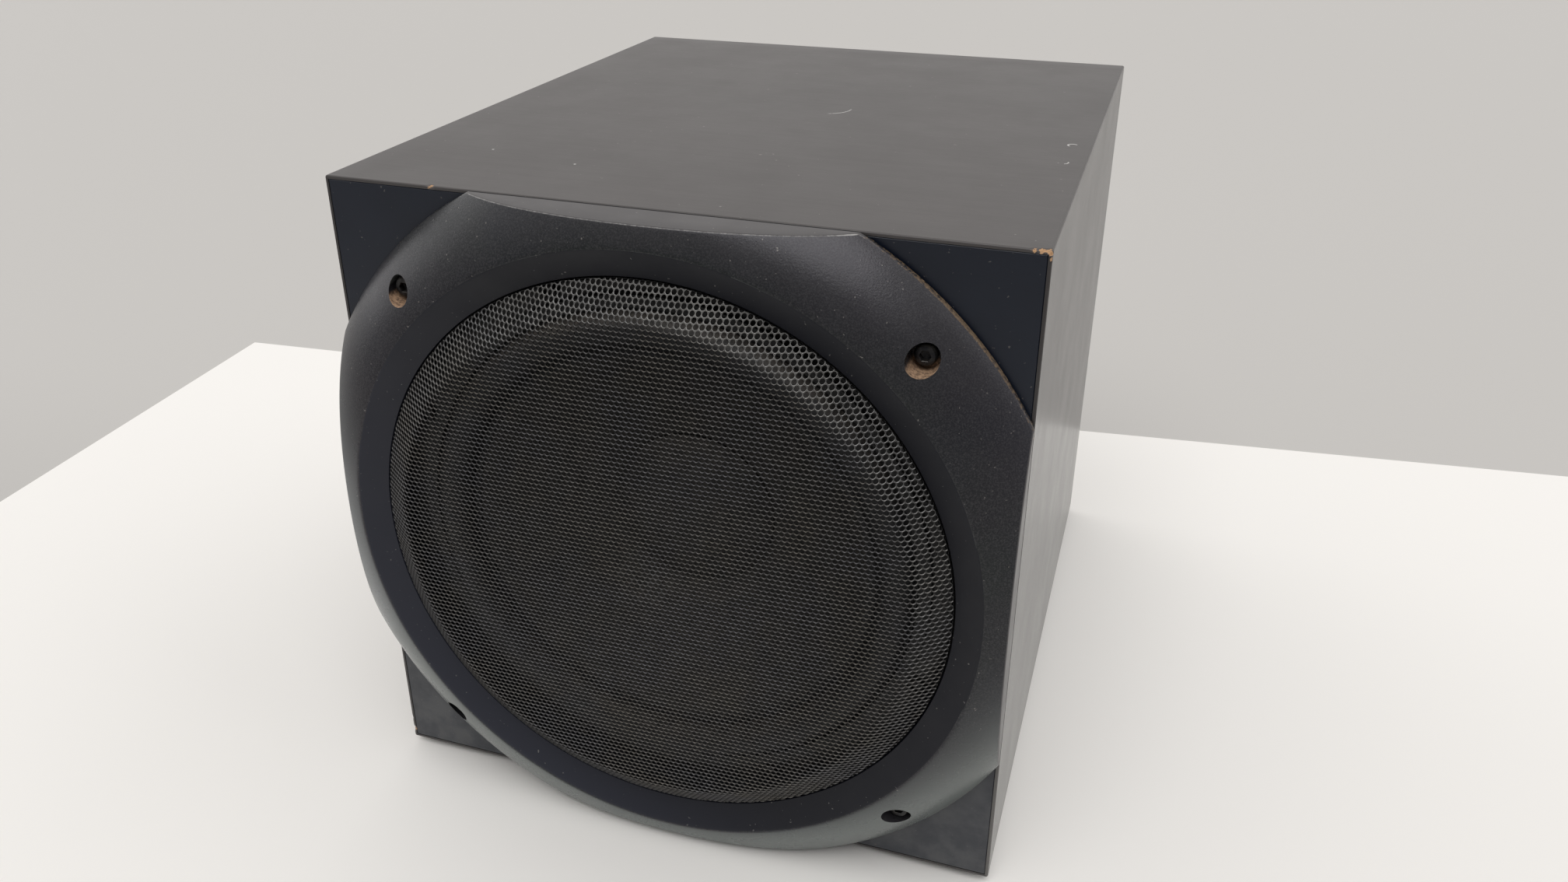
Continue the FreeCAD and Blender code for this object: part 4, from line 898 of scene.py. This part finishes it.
def screen():
    """The perforated screen: round holes in staggered rows through a thin sheet, each with a rounded lip."""
    pitch, hole, sides, reach = 2.47, 1.065, 12, 133.4
    row_step = pitch * math.sqrt(3) / 2
    grid = np.array([((column + 0.5 * (row % 2)) * pitch, row * row_step)
                     for row in range(-64, 65) for column in range(-58, 59)])
    centres = grid[np.hypot(*grid.T) < reach]
    turn = np.radians(30 + 30 * np.arange(sides))
    corner = pitch / math.sqrt(3)
    cell = np.where(np.arange(sides) % 2 == 0, corner, corner * math.cos(math.pi / 6))
    # Each ring of a hole: its radius, its depth in the sheet and how much of a lip it is.
    rings = ((cell, 0.0, 0.0), (hole + 0.06, 0.06, 0.75), (hole, 0.24, 1.0), (hole, 0.7, 0.0), (cell, 1.0, 0.0))
    bands = np.array_split(np.argsort(-centres[:, 1], kind="stable"), 6)
    step = 0.02
    for number, band in enumerate(bands, start=1):
        spots = centres[band]
        points, lip_highlights, slope_light = [], [], []
        for size, depth, lip in rings:
            ring = np.column_stack([size * np.cos(turn), size * np.sin(turn)])
            flat = (spots[:, None, :] + ring[None]).reshape(-1, 2)
            radius = np.hypot(flat[:, 0], flat[:, 1])
            around = flat / np.maximum(radius, 1e-9)[:, None]
            r, h, share = grille_surface(radius)
            r2, h2, _ = grille_surface(radius + step)
            along = np.column_stack([r2 - r, h2 - h])
            along /= np.maximum(np.linalg.norm(along, axis=1), 1e-9)[:, None]
            inward = np.column_stack([around * along[:, 1:2], -along[:, 0]])
            points.append(np.column_stack([around * r[:, None], h]) + inward * depth)
            degrees = np.degrees(np.arctan2(flat[:, 1], flat[:, 0]))
            # Painted light: the slope share is weighted to the top of the screen, the lip highlight falls on the
            # lower side of each hole, and painted shade takes it off the lower left slope and beyond the rim.
            slope_light.append(share * (0.12 + 0.88 * np.exp(-((degrees - 78) / 52) ** 2)))
            below_hole = np.tile(np.clip(-1.25 * np.sin(turn), 0, 1), len(spots))
            least = 0.05 + 0.5 * slope_light[-1]
            far_side = np.exp(-(((degrees + 130 + 180) % 360 - 180) / 62) ** 2)
            plain = (1 - 0.85 * share * far_side) * (radius < SCREEN_RIM)
            lip_highlights.append(lip * plain * (least + (1 - least) * below_hole))
        total = len(points[0])
        points, lip_highlights, slope_light = np.concatenate(points), np.concatenate(lip_highlights), np.concatenate(slope_light)
        base = np.arange(len(spots))[:, None] * sides
        here, following = base + np.arange(sides)[None], base + (np.arange(sides)[None] + 1) % sides
        loops = [(here + total * k, following + total * k) for k in range(len(rings))]
        faces = np.concatenate([np.stack(inner + outer[::-1], -1).reshape(-1, 4)
                                for inner, outer in zip(loops, loops[1:])])
        _, first, index = np.unique(np.round(points, 3), axis=0, return_index=True, return_inverse=True)
        obj = mesh_object(f"screen_band_{number}", front(points[first]), index.reshape(-1)[faces],
                          {"slope": slope_light[first], "lip": lip_highlights[first]})
        obj.data.validate()
        smooth(obj.data, 75)
        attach(obj, "cabinet")
        name_parts(obj, "grille_finish", "grille")
    brim = [(129.9, 14.9), (139.7, 14.9), (139.7, 15.8), (SCREEN_RIM, 15.8), (SCREEN_RIM, 16.6), (129.9, 16.6)]
    lathe("screen_flange", softened(brim, 0.2, 2), turns=240, slot="grille_finish")


# ---------------- driver


def soft_ring(name, profile, slot, node, inner, outer):
    """A turned soft piece between the cone and the case. It works out a share from its inner to its outer edge,
    which nothing uses.
    """
    points, faces = lathe_mesh(profile, 180)
    obj = mesh_object(name, front(points), faces)
    tidy_normals(obj.data, 50)
    name_parts(obj, slot, node)
    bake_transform(obj)
    co = np.zeros(len(obj.data.vertices) * 3)
    obj.data.vertices.foreach_get("co", co)
    reach = np.hypot(co[0::3] / MM, co[2::3] / MM - AXIS_Z)
    share = np.clip((reach - inner) / (outer - inner), 0, 1)
    share = share * share * (3 - 2 * share)


def suspension():
    centre, roll, base = 104.0, 8.4, 4.75
    turn = np.linspace(math.pi, 0, 25)
    over = [(centre + roll * math.cos(t), base + roll * math.sin(t)) for t in turn]
    roll -= 0.9
    under = [(centre + roll * math.cos(t), base + roll * math.sin(t) - 0.05) for t in turn[::-1]]
    rim = [(119.3, base - 0.1), (119.3, base - 1.1), (112, base - 1.1)]
    profile = [(92.2, base), (92.2, base + 0.8)] + over + rim + under
    soft_ring("roll_surround", profile, "surround_rubber", "surround", 95, 113)
    top, bottom = [], []
    for step in range(81):
        share = step / 80
        radius = 25.3 + (65.3 - 25.3) * share
        fade = min(1, max(0, (radius - 30) / 3)) * min(1, max(0, (61.5 - radius) / 3))
        wave = 1.05 * math.sin((radius - 31.5) * 2 * math.pi / 5.2) * fade
        level = -63.85 + wave - 0.95 * max(0, (radius - 60) / 5.3)
        top.append((radius, level + 0.3))
        bottom.append((radius, level - 0.3))
    soft_ring("corrugated_spider", top + bottom[::-1], "spider_cloth", "spider", 30, 62)


def driver():
    neck, edge, level = 25.1, 97.0, 4.7
    outer, inner = [], []
    for step in range(41):
        share = step / 40
        radius = neck + (edge - 6 - neck) * share
        straight = -39.5 + (level + 39.5) * share
        rib = 0.18 * math.sin(share * 2 * math.pi * 9) * (1 if 0.1 < share < 0.95 else 0)
        outer.append((radius, straight + rib - 0.2))
        inner.append((radius + 0.15, straight + rib - 1.4))
    profile = outer + [(edge, level - 0.05), (edge, level - 0.9)] + inner[::-1]
    lathe("paper_cone", profile, turns=180, slot="cone_paper", stands_for="cone", body="cone_assembly", sharp=50)


# ---------------- fixings, rear and inside


def fixings():
    screws("bezel_bolts", "bezel_screws", BEZEL_HOLES, front, 8, 4.6, 5, 2.5, 21, 2.3)
    screws("driver_bolts", "driver_screws", ring_of(8, 124.5, 22.5), front, 3.5, 4, 3, 2, 15, 1.8)
    width, height = 216, 230
    spots = corners_of(width, height) + [(-width / 2, 0), (width / 2, 0), (0, -height / 2), (0, height / 2)]
    screws("plate_bolts", "amp_screws", spots, rear, 4, 3.6, 2.4, 1.8, 14, 1.5)
    screws("foot_bolts", "foot_screws", [(x, -y) for x, y in FOOT_SPOTS], below, -2, 4.4, 1.4, 2, 13.6, 1.6)


def foot_pads():
    """Moulded rubber feet with a rounded rim and a sunk middle."""
    profile = [(2.4, 2.1), (6, 2.1), (6, 0.0), (11.6, 0.0), (12.5, 1.0), (12.5, 3.99), (2.4, 3.99)]
    parts = []
    for x, y in FOOT_SPOTS:
        points, faces = lathe_mesh(softened(profile, 0.5, 3), 64)
        parts.append((points + (x, y, 0), faces))
    points, faces = merged(parts)
    piece("foot_pads", points, faces, "foot_rubber", "rubber_feet")


def port_mouth():
    """The flared mouth with a rounded flange."""
    bore, flare = 38.5, 14.0
    turn = np.linspace(0, math.pi / 2 - 0.05, 16)
    arc = [(bore + flare - flare * math.cos(t), -flare + flare * math.sin(t)) for t in turn]
    flange = [(58, -0.02), (61.2, -0.1), (61.9, -0.6), (62, -2.85), (44.5, -2.85)]
    profile = arc + flange + [(44.5, -23.9), (41.15, -23.9), (41.15, -flare)]
    lathe("port_mouth", profile, left, 160, slot="terminal_plastic", stands_for="port_flare", sharp=40)


def polish(node, width):
    """Ease a CAD node's edges with modifiers, without touching its mesh."""
    obj = node_object[node]
    mesh = obj.data
    custom = mesh.attributes.get("custom_normal")
    if custom:
        mesh.attributes.remove(custom)
    mesh.shade_smooth()
    weld = obj.modifiers.new("weld", "WELD")
    weld.merge_threshold = 1e-6
    if node != "fuse_cap":
        flat = obj.modifiers.new("flat", "DECIMATE")
        flat.decimate_type, flat.angle_limit = "DISSOLVE", math.radians(0.5)
    bevel = obj.modifiers.new("ease", "BEVEL")
    bevel.width, bevel.segments = width * MM, 2
    bevel.limit_method, bevel.angle_limit = "ANGLE", math.radians(38)
    bevel.harden_normals = True


def marks():
    """Printed marks on the amplifier plate: plain numbers, signs and rules."""
    paint = finish_of("mark_paint", (0.80, 0.80, 0.78), (0.68, 0.68, 0.67), 400, (0.5, 0.6), 0, 1500, 5)
    face = 4.0
    parts = []
    block_top = span("terminal_block")[1][2] - AXIS_Z
    words = [(str(number), -30 + 24 * (number - 3), block_top + 3.4, 5.4) for number in range(1, 6)]
    words += [("+", -97.5, -29, 8), ("-", -97.5, -48, 8)]
    for text, across, up, size in words:
        curve = bpy.data.curves.new("mark", "FONT")
        curve.body, curve.size = text, size
        curve.align_x, curve.align_y = "CENTER", "CENTER"
        curve.extrude = 0.02
        carrier = bpy.data.objects.new("mark", curve)
        bpy.context.scene.collection.objects.link(carrier)
        bpy.context.view_layer.update()
        graph = bpy.context.evaluated_depsgraph_get()
        mesh = bpy.data.meshes.new_from_object(carrier.evaluated_get(graph), depsgraph=graph)
        points = np.array([vertex.co for vertex in mesh.vertices]) + (across, up, face + 0.02)
        parts.append((points, [tuple(polygon.vertices) for polygon in mesh.polygons]))
        bpy.data.objects.remove(carrier)
        bpy.data.curves.remove(curve)
        bpy.data.meshes.remove(mesh)
    rules = [(-30, block_top + 7.4, 122, 0.35), (-91, block_top + 6.0, 0.35, 3.0), (31, block_top + 6.0, 0.35, 3.0)]
    rules += [(74, -25.5, 36, 0.35), (74, -46.5, 36, 0.35), (56, -36, 0.35, 21), (92, -36, 0.35, 21)]
    for across, up, width, height in rules:
        box = [(across + a * width / 2, up + b * height / 2, face + c)
               for c in (0.0, 0.04) for a, b in ((-1, -1), (1, -1), (1, 1), (-1, 1))]
        parts.append((box, [(0, 1, 2, 3), (4, 5, 6, 7)] + tube_faces(2, 4)))
    points, faces = merged(parts)
    piece("plate_marks", rear(points), faces, "amp_plate_finish", paint=paint)


EASED = {
    "rear_panel": 0.3, "amp_plate": 0.5, "heat_sink": 0.3, "terminal_block": 0.5, "control_socket": 0.3,
    "socket_posts": 0.25, "switch_housing": 0.6, "power_rocker": 0.5, "fuse_holder": 0.3, "fuse_cap": 0.35,
    "mains_inlet": 0.7, "inlet_pins": 0.3, "driver_basket": 0.3, "surround_clamp": 0.3, "top_plate": 0.3,
    "magnet": 0.8, "back_plate_and_pole": 0.4, "amp_board": 0.1, "power_transistors": 0.4,
    "filter_capacitors": 0.8, "board_standoffs": 0.2, "driver_terminals": 0.15,
}


def dress():
    """Ease the CAD nodes that stay, and give each one its slot's material."""
    slots = {part["node"]: part["material_slot"] for part in frame["record"]["subparts"]}
    for name, obj in node_object.items():
        if obj.hide_render:
            continue
        if name in EASED:
            polish(name, EASED[name])
        elif "lever" in name:
            polish(name, 0.4)
        obj.data.materials.clear()
        obj.data.materials.append(material_of.get(slots[name], board_vinyl["top"]))


studio()
case()
baffle()
bezel_ring()
screen()
suspension()
driver()
fixings()
foot_pads()
port_mouth()
marks()
dress()
